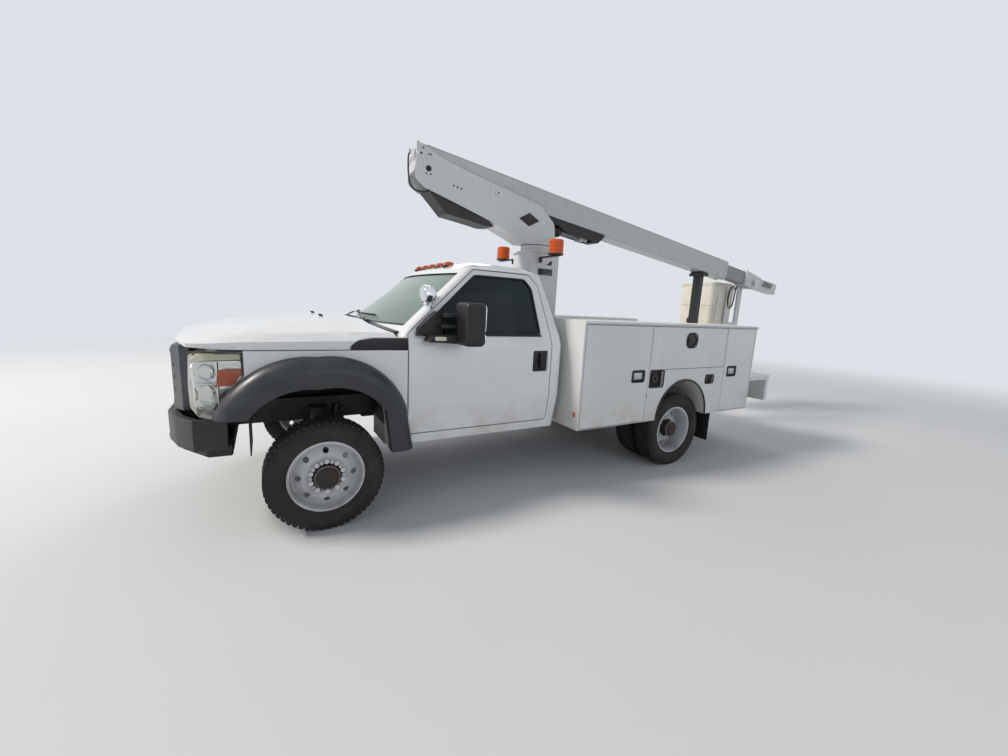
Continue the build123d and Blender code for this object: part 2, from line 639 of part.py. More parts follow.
arch_cut = side_face(arch_opening(0.0), 500, 1200)
fender -= arch_cut
LAMP_REAR = 470.0
LAMP_BASE = 842.0
LAMP_TOP = 1262.0
LAMP_IN = 640.0
LAMP_HEEL = ((600.0, 960.0), (LAMP_REAR, 1110.0))
LAMP_POCKET = ((LAMP_REAR, LAMP_TOP + 20), (900.0, LAMP_TOP + 20), (900.0, LAMP_BASE - 20),
               (640.0, LAMP_BASE - 20), *LAMP_HEEL)
LAMP_SIDE = ((LAMP_REAR, LAMP_TOP), (725.0, LAMP_TOP), (763.0, 1236.0), (776.0, 1050.0), (772.0, 905.0),
             (726.0, 850.0), (660.0, LAMP_BASE - 6), *LAMP_HEEL)
fender -= side_prism(LAMP_POCKET, LAMP_IN, FENDER_OUT)
lamp_zone = side_prism(LAMP_SIDE, LAMP_IN, FENDER_OUT)
save("front_fenders", both(fender))

# Liners over the front wheels, between the fender and the frame
LINER = 8.0
liner = side_face(arch_opening(0.0) - arch_opening(-LINER), SILL_IN + 40, COWL_HALF)
liner &= box(CAB_FRONT + 9, ARCH_FRONT, 0, REACH, 560, ARCH_TOP)
save("wheel_liners", both(liner))

# Flares: a band round each arch, rounded from the fender out to its lip

# Columns: Y, how far the outline has drawn in
FLARE_SECTIONS = ((FENDER_Y - 20, 0.0), (FENDER_Y + 30, 4.0), (FENDER_Y + 72, 24.0),
                  (FENDER_Y + 103, 60.0), (FLARE_Y, 105.0))
FLARE_FOOT = 506.0
FLARE_INNER = 300.0
FLARE_FRONT = 655.0
FLARE_FRONT_Z = 845.0


def flare_section(y, shrink):
    front = FLARE_FRONT - shrink
    half = FLARE_HALF - shrink
    lines = arch_face(half, FLARE_TOP - shrink, FLARE_FOOT, front, FLARE_FRONT_Z)
    edges = list(lines) + [Line((front, FLARE_FRONT_Z), (FLARE_INNER, FLARE_FRONT_Z)),
                           Line((FLARE_INNER, FLARE_FRONT_Z), (FLARE_INNER, FLARE_FOOT)),
                           Line((FLARE_INNER, FLARE_FOOT), (-half, FLARE_FOOT))]
    return Pos(0, y, 0) * (SIDE_VIEW * make_face(Curve() + edges))


flare = loft([flare_section(y, shrink) for y, shrink in FLARE_SECTIONS], ruled=True)
flare -= arch_cut
flare -= fender
flare -= box(-3000, DOOR_FRONT + GAP, 0, CAB_HALF + 15, 0, 3000)
save("fender_flares", both(flare))

# Headlamps fill the pockets in the fenders
LAMP_PLAN = ((LAMP_REAR + 3, 760.0), (LAMP_REAR + 3, FENDER_Y - 2), (640.0, 955.0), (735.0, 915.0),
             (785.0, 850.0), (800.0, 700.0), (560.0, 700.0), (560.0, 760.0))
lamp = lamp_zone & extrude(face_of(LAMP_PLAN), amount=TALL)
lamp -= fender
lamp -= flare
save("headlamps", both(lamp))

# Grille: a surround with bars and a mesh behind
GRILLE_HALF = 690.0
GRILLE_FRONT = 893.0
GRILLE_BASE = 845.0
GRILLE_REAR = 780.0
GRILLE_TOP = 1282.0
GRILLE_EDGE = 85.0
GRILLE_PLAN = ((GRILLE_REAR, -GRILLE_HALF), (GRILLE_FRONT - 60, -GRILLE_HALF),
               (GRILLE_FRONT, -GRILLE_HALF + 90),
               (GRILLE_FRONT, GRILLE_HALF - 90), (GRILLE_FRONT - 60, GRILLE_HALF),
               (GRILLE_REAR, GRILLE_HALF))
GRILLE_SIDE = ((GRILLE_REAR, GRILLE_BASE), (GRILLE_FRONT, GRILLE_BASE), (GRILLE_FRONT, GRILLE_TOP - 30),
               (GRILLE_FRONT - 20, GRILLE_TOP), (GRILLE_REAR, GRILLE_TOP))
surround = extrude(face_of(GRILLE_PLAN), amount=TALL)
surround &= side_prism(GRILLE_SIDE, -GRILLE_HALF, GRILLE_HALF)
surround -= box(GRILLE_REAR - 20, GRILLE_FRONT + 10, -GRILLE_HALF + GRILLE_EDGE, GRILLE_HALF - GRILLE_EDGE,
                905, 1225)
for z in (985.0, 1065.0, 1145.0):
    surround += box(800, GRILLE_FRONT - 15, -GRILLE_HALF + 60, GRILLE_HALF - 60, z - 14, z + 14)
surround += box(785, 793, -GRILLE_HALF + 60, GRILLE_HALF - 60, 880, 1250)
save("grille", surround)

BUMPER_BASE = 632.0
BUMPER_H = 204.0
BUMPER_OUTSIDE = ((BUMPER_X, 600.0), (860.0, 800.0), (760.0, 950.0), (580.0, 955.0))
BUMPER_INSIDE = ((580.0, 925.0), (735.0, 915.0), (820.0, 780.0), (BUMPER_X - 50, 590.0))
half_bumper = [*BUMPER_OUTSIDE, *BUMPER_INSIDE]
bumper_plan = face_of([*half_bumper, *[(x, -y) for x, y in reversed(half_bumper)]])
bumper = Pos(0, 0, BUMPER_BASE) * extrude(bumper_plan, amount=BUMPER_H)
bumper += [box(RAIL_FRONT, 885, s * RAIL_Y, s * (RAIL_Y + RAIL_W), RAIL_TOP - 150, RAIL_TOP - 30)
           for s in (1, -1)]
save("front_bumper", bumper)

# Service body: two rows of lockers joined by the bed and the front wall

IN_Y = BODY_HALF - LOCKER_DEPTH
FRONT_DOOR_REAR = BODY_FRONT - FRONT_LOCKER
SIDE_DOOR_REAR = FRONT_DOOR_REAR - 15 - SIDE_LOCKER_LENGTH
row_block = box(BODY_REAR, BODY_FRONT, IN_Y, BODY_HALF, BODY_BASE, BODY_TOP)
wheel_cut = rod_y(ARCH_BODY_X, ARCH_BODY_Z, ARCH_BODY_R, IN_Y - 10, BODY_HALF + 10)
wheel_cut += box(ARCH_BODY_X - ARCH_BODY_R, ARCH_BODY_X + ARCH_BODY_R, IN_Y - 10, BODY_HALF + 10,
                 BODY_BASE - 100, ARCH_BODY_Z)
lockers = (
    (FRONT_DOOR_REAR + 20, BODY_FRONT - SHEET, BODY_BASE + SHEET, BODY_TOP - 40),
    (SIDE_DOOR_REAR + 20, FRONT_DOOR_REAR - 35, SIDE_LOCKER_BASE + 20, BODY_TOP - 40),
    (BODY_REAR + SHEET, SIDE_DOOR_REAR - 35, BODY_BASE + SHEET, BODY_TOP - 40),
)
row_block -= wheel_cut
for x0, x1, z0, z1 in lockers:
    row_block -= box(x0, x1, IN_Y + SHEET, BODY_HALF + 10, z0, z1)
DOORS = (
    ("front", FRONT_DOOR_REAR + 4, BODY_FRONT - 30, BODY_BASE + 12, BODY_TOP - 30),
    ("side", SIDE_DOOR_REAR + 4, FRONT_DOOR_REAR - 20, SIDE_LOCKER_BASE, BODY_TOP - 30),
    ("rear", BODY_REAR + 30, SIDE_DOOR_REAR - 20, BODY_BASE + 12, BODY_TOP - 30),
)
for name, x0, x1, z0, z1 in DOORS:
    row_block -= box(x0 - GAP, x1 + GAP, BODY_HALF - LEAF - GAP, BODY_HALF + 10, z0 - GAP, z1 + GAP)
row_block += box(BODY_REAR, BODY_FRONT, BODY_HALF - 5, BODY_HALF + 12, BODY_TOP - 20, BODY_TOP - 6)
# Pockets in the side: the fuel filler and a low one behind the wheel. Columns: front, rear, low, high, depth
POCKETS = ((-3040.0, -3252.0, 884.0, 1062.0, 40.0), (-3957.0, -4109.0, 884.0, 984.0, 25.0))
for x0, x1, z0, z1, depth in POCKETS:
    row_block -= side_prism(((x0, z0), (x1, z0), (x1, z1), (x0, z1)), BODY_HALF - depth, BODY_HALF + 20,
                            18)
bed = box(BODY_REAR, BODY_FRONT, -IN_Y, IN_Y, BED_Z - 40, BED_Z)
bed += box(BODY_FRONT - SHEET, BODY_FRONT, -IN_Y, IN_Y, BED_Z, BED_Z + 260)
bed += [box(BODY_REAR, PED_X - 310, s * (RAIL_Y + 5), s * (RAIL_Y + 60), RAIL_TOP, BED_Z - 40)
        for s in (1, -1)]
bed -= box(PED_X - PED_HALF - GAP, PED_X + PED_HALF + GAP, -PED_HALF - GAP, PED_HALF + GAP, 0, 2000)
body = row_block + mirror(row_block, Plane.XZ) + bed
save("service_body", body)

# Latch pockets in the doors. Columns: front, rear, low, high, corner radius
LATCHES = {"front": (-2780.0, -2955.0, 952.0, 1071.0, 20.0),
           "side": (-3547.0, -3732.0, 1292.0, 1453.0, 75.0),
           "rear": (-4350.0, -4525.0, 952.0, 1071.0, 20.0)}
LATCH_DEPTH = 12.0
for side, flip in (("left", False), ("right", True)):
    for name, x0, x1, z0, z1 in DOORS:
        leaf = box(x0, x1, BODY_HALF - LEAF, BODY_HALF, z0, z1)
        px0, px1, pz0, pz1, corner = LATCHES[name]
        leaf -= side_prism(((px0, pz0), (px1, pz0), (px1, pz1), (px0, pz1)), BODY_HALF - LATCH_DEPTH,
                           BODY_HALF + 20, corner)
        save(f"locker_{name}_{side}", mirror(leaf, Plane.XZ) if flip else leaf)

SHELF_REAR = BODY_REAR - SHELF_LENGTH
shelf = box(SHELF_REAR, BODY_REAR, -BODY_HALF + 30, BODY_HALF - 30, BED_Z - 40 - SHELF_H, BED_Z - 40)
shelf += [box(SHELF_REAR + 60, BODY_REAR, s * RAIL_Y, s * (RAIL_Y + RAIL_W), RAIL_TOP - 140, BED_Z - 100)
          for s in (1, -1)]
shelf += box(SHELF_REAR, SHELF_REAR + 60, -BODY_HALF + 30, BODY_HALF - 30, RAIL_TOP - 250, BED_Z - 100)
RECEIVER = 51.0
shelf += box(SHELF_REAR - 30, SHELF_REAR + 220, -38, 38, RAIL_TOP - 250, RAIL_TOP - 174)
shelf -= box(SHELF_REAR - 40, SHELF_REAR + 230, -RECEIVER / 2, RECEIVER / 2, RAIL_TOP - 212 - RECEIVER / 2,
             RAIL_TOP - 212 + RECEIVER / 2)
save("rear_shelf", shelf)

lamps = []
TAIL_Y = (940.0, 1080.0)
TAIL_Z = 780.0
TAIL_R = 52.0
for s in (1, -1):
    for y in TAIL_Y:
        lamps.append(rod_x(s * y, TAIL_Z, TAIL_R, SHELF_REAR - 22, SHELF_REAR))
save("tail_lamps", lamps)

# Pedestal with its turning ring, and the beacons on their arms

PED_IN = PED_HALF - 14
pedestal = box(PED_X - PED_HALF, PED_X + PED_HALF, -PED_HALF, PED_HALF, RAIL_TOP, PED_TOP)
pedestal -= box(PED_X - PED_IN, PED_X + PED_IN, -PED_IN, PED_IN, RAIL_TOP + 20, PED_TOP - 20)
pedestal -= box(PED_X - 110, PED_X + 95, -PED_HALF - 5, PED_HALF + 5, 1985, 2070)
CORNER_HOLE = ((PED_X - 95, 2105.0), (PED_X - 20, 2105.0), (PED_X - 95, 2160.0))
pedestal -= side_prism(CORNER_HOLE, -PED_HALF - 5, PED_HALF + 5)
PED_FLANGE = PED_HALF + 20
pedestal += box(PED_X - PED_FLANGE, PED_X + PED_FLANGE, -PED_FLANGE, PED_FLANGE, PED_TOP - 20, PED_TOP)
pedestal += box(PED_X - 300, PED_X + 300, -RAIL_Y - RAIL_W, RAIL_Y + RAIL_W, RAIL_TOP, RAIL_TOP + 20)
pedestal += rod_z(PED_X, 0, RING_R, PED_TOP, PED_TOP + RING_H)
save("pedestal", pedestal)

# Amber lamps: five on the roof, two beacons on arms from the pedestal
MARKER_X = -1135.0
MARKER_Z = 1983.0
MARKER_PITCH = 200.0
markers = []
for i in range(-2, 3):
    marker = Pos(MARKER_X, i * MARKER_PITCH, MARKER_Z) * Box(95, 62, 50)
    markers.append(fillet(marker.edges().filter_by(Axis.X), 18) - cab_outer)

# Columns: X, Y
BEACONS = ((-2290.0, 465.0), (-2195.0, -465.0))
BEACON_Z = 2180.0
beacons = []
for x, y in BEACONS:
    near = math.copysign(PED_FLANGE, y)
    beacon = rod_z(x, y, 82, BEACON_Z, BEACON_Z + 30) + rod_z(x, y, 74, BEACON_Z + 30, BEACON_Z + 125)
    beacon += Pos(x, y, BEACON_Z + 125) * Cone(74, 52, 30, align=(Align.CENTER, Align.CENTER, Align.MIN))
    arm = box(x - 25, x + 25, near, y + math.copysign(60, y), BEACON_Z - 12, BEACON_Z)
    arm += box(PED_X + 60, x + 25, near, near + math.copysign(12, y), BEACON_Z - 60, BEACON_Z)
    beacons.append(beacon + arm)
save("amber_lamps", markers, beacons)

# Spotlight at the foot of the left windscreen pillar
SPOT_Y = 893.0
SPOT_Z = 1692.0
# Columns: X, radius
SPOT_PROFILE = ((-842.0, 0.0), (-838.0, 26.0), (-815.0, 55.0), (-780.0, 71.0), (-738.0, 76.0),
                (-728.0, 70.0),
                (-728.0, 0.0))
spot = Pos(0, SPOT_Y, SPOT_Z) * revolve(face_of(SPOT_PROFILE), Axis.X)
spot += rod_z(-790, SPOT_Y, 14, 1590, SPOT_Z)
save("spotlight", spot - cab_outer)

# Turret: two side plates round the boom, closed below, on a base ring

TURRET_BASE = PED_TOP + RING_H + TURN_GAP
TURRET_OUTLINE = ((-912.0, 3067.0), (-905.0, 2742.0), (-1000.0, 2680.0), (-1696.0, 2480.0),
                  (-2130.0, TURRET_BASE),
                  (-2525.0, TURRET_BASE), (-2490.0, 2560.0), (-2300.0, 2720.0), (-1881.0, 2809.0),
                  (-1514.0, 2881.0),
                  (-1192.0, 2954.0))
plate_face = face_of(TURRET_OUTLINE)
round_corners = [v for v in plate_face.vertices() if v.Y > TURRET_BASE
                 + 20 and not (v.X > -930 and v.Y > 3000)]
plate_face = fillet(round_corners, 60)
turret = side_face(plate_face, TURRET_HALF - PLATE, TURRET_HALF)
turret += side_face(plate_face, -TURRET_HALF, -TURRET_HALF + PLATE)
TURRET_FLOOR = ((-1640.0, 2496.0), (-1696.0, 2480.0), (-2130.0, TURRET_BASE), (-2130.0, TURRET_BASE + 12),
                (-1696.0, 2492.0), (-1640.0, 2508.0))
turret += side_prism(TURRET_FLOOR, -TURRET_HALF + 2, TURRET_HALF - 2)
turret += rod_z(PED_X, 0, RING_R + 15, TURRET_BASE, TURRET_BASE + 25)
turret += box(-2520, -2130, -TURRET_HALF, TURRET_HALF, TURRET_BASE, TURRET_BASE + 25)
turret += rod_y(PIVOT_X, PIVOT_Z, PIVOT_R, -TURRET_HALF - 12, TURRET_HALF + 12)
turret += [rod_y(-1756, 2755, 28, s * (TURRET_HALF - 2), s * (TURRET_HALF + 12)) for s in (1, -1)]
BARREL_PIN_R = 25.0
turret += rod_y(BARREL_X, BARREL_Z, BARREL_PIN_R, -TURRET_HALF + 2, TURRET_HALF - 2)
save("turret", turret)

COVER_Y = TURRET_HALF - PLATE - 4
COVER_OUTSIDE = ((-1030.0, 2668.0), (-1219.0, 2487.0), (-1400.0, 2464.0), (-1662.0, 2430.0),
                 (-1745.0, 2436.0),
                 (-1697.0, 2474.0), (-1450.0, 2548.0))
COVER_INSIDE = ((-1052.0, 2690.0), (-1226.0, 2500.0), (-1400.0, 2478.0), (-1662.0, 2442.0),
                (-1735.0, 2448.0),
                (-1690.0, 2500.0), (-1450.0, 2600.0))
cover = side_prism(COVER_OUTSIDE, -COVER_Y, COVER_Y) - side_prism(COVER_INSIDE, -COVER_Y + 8, COVER_Y - 8)
cover -= rod_y(BARREL_X, BARREL_Z, BARREL_PIN_R + 2, -300, 300)
save("turret_cover", cover)

# Outer boom: a square tube with its pivot bore and the cylinder's lugs

top = PIVOT_BELOW_TOP
outer = box(-BOOM_NOSE, BOOM_LEN, -BOOM_W / 2, BOOM_W / 2, top - BOOM_H, top)
outer = fillet(outer.edges().filter_by(Axis.X), 14)
boom_in = BOOM_W / 2 - BOOM_WALL
outer -= box(-BOOM_NOSE + BOOM_WALL, BOOM_LEN + 1, -boom_in, boom_in, top - BOOM_H + BOOM_WALL,
             top - BOOM_WALL)
outer += rod_y(0, 0, PIVOT_R + 20, -BOOM_W / 2, BOOM_W / 2)
outer -= rod_y(0, 0, PIVOT_R + FIT, -BOOM_W, BOOM_W)
LUG_IN = 40.0
ROD_PIN_R = 25.0
rod_up = top - BOOM_H - ROD_BELOW
for s in (1, -1):
    outer += box(ROD_ALONG - 60, ROD_ALONG + 60, s * LUG_IN, s * (LUG_IN + 15), rod_up - 45,
                 top - BOOM_H + 2)
save("outer_boom", boom_frame(outer))

# Two cheeks under the boom, closed behind the cylinder's eye
HOUSING_START = 1480.0
HOUSING_END = 2370.0
HOUSING_DEPTH = 100.0
HOUSING_WALL = 8.0
under = top - BOOM_H
housing_half = BOOM_W / 2 - 4
foot = under - HOUSING_DEPTH
CHEEK = ((HOUSING_START, under), (HOUSING_END, under), (HOUSING_END - 90, foot),
         (HOUSING_START + 330, foot))
HOLLOW = ((HOUSING_START - 20, under + 5), (HOUSING_END - 10, under + 5),
          (HOUSING_END - 110, foot + HOUSING_WALL),
          (HOUSING_END - 150, foot + HOUSING_WALL), (HOUSING_END - 150, foot - 20),
          (HOUSING_START - 20, foot - 20))
housing = side_prism(CHEEK, -housing_half, housing_half)
housing -= side_prism(HOLLOW, -housing_half + HOUSING_WALL, housing_half - HOUSING_WALL)
save("boom_housing", boom_frame(housing))

# Inner boom: a lighter tube that slides in the outer one, with pads, and the tip
centre = top - BOOM_H / 2
low_z = centre - INNER_H / 2
high_z = centre + INNER_H / 2
tip_start = INNER_START + INNER_LEN
inner_half = INNER_W / 2
inner_in = inner_half - INNER_WALL
inner = box(INNER_START, tip_start, -inner_half, inner_half, low_z, high_z)
inner = fillet(inner.edges().filter_by(Axis.X), 12)
inner -= box(INNER_START - 1, tip_start - 200, -inner_in, inner_in, low_z + INNER_WALL,
             high_z - INNER_WALL)
save("inner_boom", boom_frame(inner))

# The tip: a collar plate, two side plates with the platform's pivot boss, and a hollow end box
COLLAR = 28.0
COLLAR_T = 20.0
TIP_HALF = 87.0
TIP_PLATE = 12.0
collar_half = inner_half + COLLAR
tip = box(tip_start, tip_start + COLLAR_T, -collar_half, collar_half, low_z - COLLAR, high_z + COLLAR)
tip_side = ((tip_start + COLLAR_T, low_z), (tip_start + COLLAR_T, high_z + 12),
            (tip_start + 80, high_z + 12),
            (TIP_PIN + 190, centre + 75), (TIP_PIN + 190, centre - 95), (TIP_PIN - 40, centre - 130))
for s in (1, -1):
    y0, y1 = sorted((s * TIP_HALF, s * (TIP_HALF - TIP_PLATE)))
    tip += side_prism(tip_side, y0, y1)
tip += box(tip_start + COLLAR_T, TIP_PIN + 190, -TIP_HALF + 2, TIP_HALF - 2, centre - 20, centre + 8)
end_box = box(TIP_PIN + 180, TIP_END, -TIP_HALF + 12, TIP_HALF - 12, centre - 95, centre + 75)
end_box = fillet(end_box.edges().filter_by(Axis.X), 16)
end_box -= box(TIP_PIN + 188, TIP_END + 1, -TIP_HALF + 20, TIP_HALF - 20, centre - 87, centre + 67)
tip += end_box
tip_up = centre - 60
TIP_PIN_R = 25.0
tip += rod_y(TIP_PIN, tip_up, 45, -TIP_HALF - 8, TIP_HALF + 8)
tip += rod_y(TIP_PIN, tip_up, TIP_PIN_R, -160, TIP_HALF + 8)
save("boom_tip", boom_frame(tip))

# Platform bracket and bucket beside the tip
tip_x, tip_z = boom_point(TIP_PIN, PIVOT_BELOW_TOP - tip_up)
BUCKET_IN = BUCKET_Y + BUCKET / 2
BUCKET_X = tip_x + 395.0
BRACKET_LOW = 1500.0
BRACKET_BAR = 60.0
rail_in = BUCKET_IN + 4
rail_out = BUCKET_IN + 34
bracket = box(tip_x - 45, tip_x + 60, rail_in, rail_out, BRACKET_LOW, tip_z + 60)
bracket += box(tip_x + 300, tip_x + 350, rail_in, rail_out, BRACKET_LOW, tip_z - 40)
bracket += box(tip_x - 45, tip_x + 350, rail_in, rail_out, tip_z - 90, tip_z - 40)
bracket += box(tip_x - 45, tip_x + 350, rail_in, rail_out, BRACKET_LOW, BRACKET_LOW + BRACKET_BAR)
bracket += rod_y(tip_x, tip_z, 55, rail_in, rail_out)
bracket -= rod_y(tip_x, tip_z, TIP_PIN_R + FIT, BUCKET_IN - 50, BUCKET_IN + 60)
save("platform_bracket", bracket)

BUCKET_BASE = BUCKET_TOP - BUCKET_H
BUCKET_TAPER = 50.0
RIM_H = 12.0
RIM_OUT = 16.0


def bucket_square(side, corner, z):
    return Pos(BUCKET_X, BUCKET_Y, z) * RectangleRounded(side, side, corner)


bucket = loft([bucket_square(BUCKET - BUCKET_TAPER, 60, BUCKET_BASE),
               bucket_square(BUCKET, 60, BUCKET_TOP)])
inside = loft([bucket_square(BUCKET - BUCKET_TAPER - 2 * BUCKET_WALL, 50, BUCKET_BASE + BUCKET_WALL),
               bucket_square(BUCKET - 2 * BUCKET_WALL, 50, BUCKET_TOP + 1)])
bucket += extrude(bucket_square(BUCKET + RIM_OUT, 64, BUCKET_TOP - RIM_H), amount=RIM_H)
bucket += box(BUCKET_X - 200, BUCKET_X + 200, BUCKET_IN - 20, rail_in, BRACKET_LOW,
              BRACKET_LOW + BRACKET_BAR)
bucket -= inside
save("bucket", bucket)
lid = extrude(bucket_square(BUCKET + RIM_OUT, 64, BUCKET_TOP + 1), amount=28)
lid -= extrude(bucket_square(BUCKET - 40, 40, BUCKET_TOP), amount=20)
save("bucket_cover", lid)

# Lift cylinder between the turret's foot and the boom's lugs
eye_x, eye_z = boom_point(ROD_ALONG, BOOM_H + ROD_BELOW)
lift_len = math.hypot(eye_x - BARREL_X, eye_z - BARREL_Z)
lift_tilt = math.degrees(math.atan2(eye_z - BARREL_Z, BARREL_X - eye_x))


def lift_frame(shape):
    return Pos(BARREL_X, 0, BARREL_Z) * Rot(0, lift_tilt, 0) * mirror(shape, Plane.YZ)


BARREL_WALL = 12.0
BARREL_START = 55.0
barrel_end = BARREL_START + BARREL_LEN
barrel = rod_x(0, 0, BARREL_R, BARREL_START, barrel_end)
barrel -= rod_x(0, 0, BARREL_R - BARREL_WALL, BARREL_START + 20, barrel_end + 5)
barrel += rod_x(0, 0, BARREL_R, barrel_end - 30, barrel_end) - rod_x(0, 0, ROD_R + FIT, 0, barrel_end + 5)
barrel += rod_y(0, 0, 50, -35, 35) + box(0, 70, -35, 35, -45, 45)
barrel -= rod_y(0, 0, BARREL_PIN_R + FIT, -100, 100)
save("lift_barrel", lift_frame(barrel))
rod = rod_x(0, 0, ROD_R, 300, lift_len - 35)
rod += rod_x(0, 0, BARREL_R - BARREL_WALL - 0.1, 300, 340)
rod += rod_y(lift_len, 0, 42, -30, 30) + box(lift_len - 60, lift_len, -30, 30, -32, 32)
rod -= rod_y(lift_len, 0, ROD_PIN_R + 1, -100, 100)
save("lift_rod", lift_frame(rod))

# Boom rest on the rear shelf
REST_ALONG = 4390.0
rest_x, rest_top = boom_point(REST_ALONG, BOOM_H)
shelf_top = BED_Z - 40
rest = box(rest_x - 45, rest_x + 45, -55, 55, shelf_top, rest_top - 40)
rest += box(rest_x - 60, rest_x + 60, -BOOM_W / 2 - 20, BOOM_W / 2 + 20, rest_top - 60, rest_top - 18)
rest += box(rest_x - 110, rest_x + 110, -130, 130, shelf_top, shelf_top + 15)
save("boom_rest", rest)
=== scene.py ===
import json
import math

import bmesh
import bpy
from mathutils import Matrix, Vector


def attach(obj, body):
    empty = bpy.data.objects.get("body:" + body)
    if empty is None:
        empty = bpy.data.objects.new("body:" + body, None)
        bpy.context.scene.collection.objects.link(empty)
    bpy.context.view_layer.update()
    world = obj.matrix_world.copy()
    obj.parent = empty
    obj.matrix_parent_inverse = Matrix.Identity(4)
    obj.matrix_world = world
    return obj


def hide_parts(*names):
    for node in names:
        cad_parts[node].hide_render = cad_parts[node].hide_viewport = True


# Cherry picker truck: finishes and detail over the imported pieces.
# Sizes are in millimetres from the front axle line, as the truck is drawn, with the floor at Z = FLOOR:
# X forward, Y to the truck's left, Z up. finished() turns them into the row's metres.

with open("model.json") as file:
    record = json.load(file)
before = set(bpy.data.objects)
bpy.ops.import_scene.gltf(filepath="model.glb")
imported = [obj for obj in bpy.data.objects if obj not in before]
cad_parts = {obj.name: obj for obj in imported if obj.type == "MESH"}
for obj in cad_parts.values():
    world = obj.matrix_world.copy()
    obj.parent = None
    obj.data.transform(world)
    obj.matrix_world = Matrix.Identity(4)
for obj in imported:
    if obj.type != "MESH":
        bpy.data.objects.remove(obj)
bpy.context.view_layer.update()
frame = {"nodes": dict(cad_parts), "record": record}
NODES = frame["nodes"]
RECORD = frame["record"]
NODE_BODY = {node: body for body, nodes in RECORD["behaviour"]["bodies"].items() for node in nodes}
NODE_SLOT = {row["node"]: row["material_slot"] for row in RECORD["subparts"]}
SIDES = (("left", 1), ("right", -1))

MIDDLE = 3186.6477
FLOOR = -40.0
TO_ROW = Matrix.Diagonal((0.001, 0.001, 0.001, 1.0)) @ Matrix.Translation((MIDDLE, 0.0, -FLOOR))
BOOM_SLOPE = math.radians(7.0)
PIVOT = (-951.0, 2963.0)
BOOM_TOP, BOOM_H = 105.0, 255.0
BOOM_SIDE = 99
AXLE_Z, REAR_X = 366.0, -3581.0
FRONT_Y, OUTER_Y, DUAL_PITCH = 925.0, 1060.0, 290.0
BODY_FRONT, BODY_REAR, BODY_TOP, BODY_SIDE = -2125.0, -4860.0, 1541.0, 1205
DOOR_SIDE, SPRING_Y, COVER_SIDE = 989, 400, 101
BED_Z, SHELF_REAR = 965.0, -5360.0
PEDESTAL_X, CHEEK_Y = -2360, 129


# Materials. Patterns are sized in millimetres and read Object coordinates.

NOISE, RANGE, MIX = "ShaderNodeTexNoise", "ShaderNodeMapRange", "ShaderNodeMix"
MATH, BUMP = "ShaderNodeMath", "ShaderNodeBump"
SMOOTH = {"interpolation_type": "SMOOTHSTEP"}
TIMES = {"operation": "MULTIPLY"}
LARGER = {"operation": "MAXIMUM"}
COLOURS = {"data_type": "RGBA"}


def linear(hex_colour):
    channels = [int(hex_colour[i:i + 2], 16) / 255 for i in (1, 3, 5)]
    return [c / 12.92 if c <= 0.04045 else ((c + 0.055) / 1.055) ** 2.4 for c in channels] + [1.0]


def set_inputs(tree, node, **inputs):
    """Sets or links a node's inputs: i3 is socket 3, and a name has _ for each space. A node given as a value
    stands for its first output."""
    for key, value in inputs.items():
        by_index = key[0] == "i" and key[1:].isdigit()
        socket = node.inputs[int(key[1:])] if by_index else node.inputs[key.replace("_", " ")]
        if isinstance(value, bpy.types.Node):
            value = value.outputs[0]
        if isinstance(value, bpy.types.NodeSocket):
            tree.links.new(value, socket)
        elif isinstance(value, str) and value.startswith("#"):
            socket.default_value = linear(value)
        else:
            socket.default_value = value


def add(tree, kind, settings, **inputs):
    """Adds a node, sets its attributes, and sets or links its inputs."""
    made = tree.nodes.new(kind)
    for key, value in settings.items():
        setattr(made, key, value)
    set_inputs(tree, made, **inputs)
    return made


def new_material(name):
    """A material and its tree, with its shader and the Object coordinates that its patterns read."""
    material = bpy.data.materials.new(name)
    material.use_nodes = True
    tree = material.node_tree
    tree.nodes.clear()
    shader = add(tree, "ShaderNodeBsdfPrincipled", {})
    add(tree, "ShaderNodeOutputMaterial", {}, Surface=shader)
    return material, tree, shader, add(tree, "ShaderNodeTexCoord", {}).outputs["Object"]


def show(tree, surface):
    """Makes another shader the material's surface."""
    set_inputs(tree, next(node for node in tree.nodes if node.type == "OUTPUT_MATERIAL"), Surface=surface)


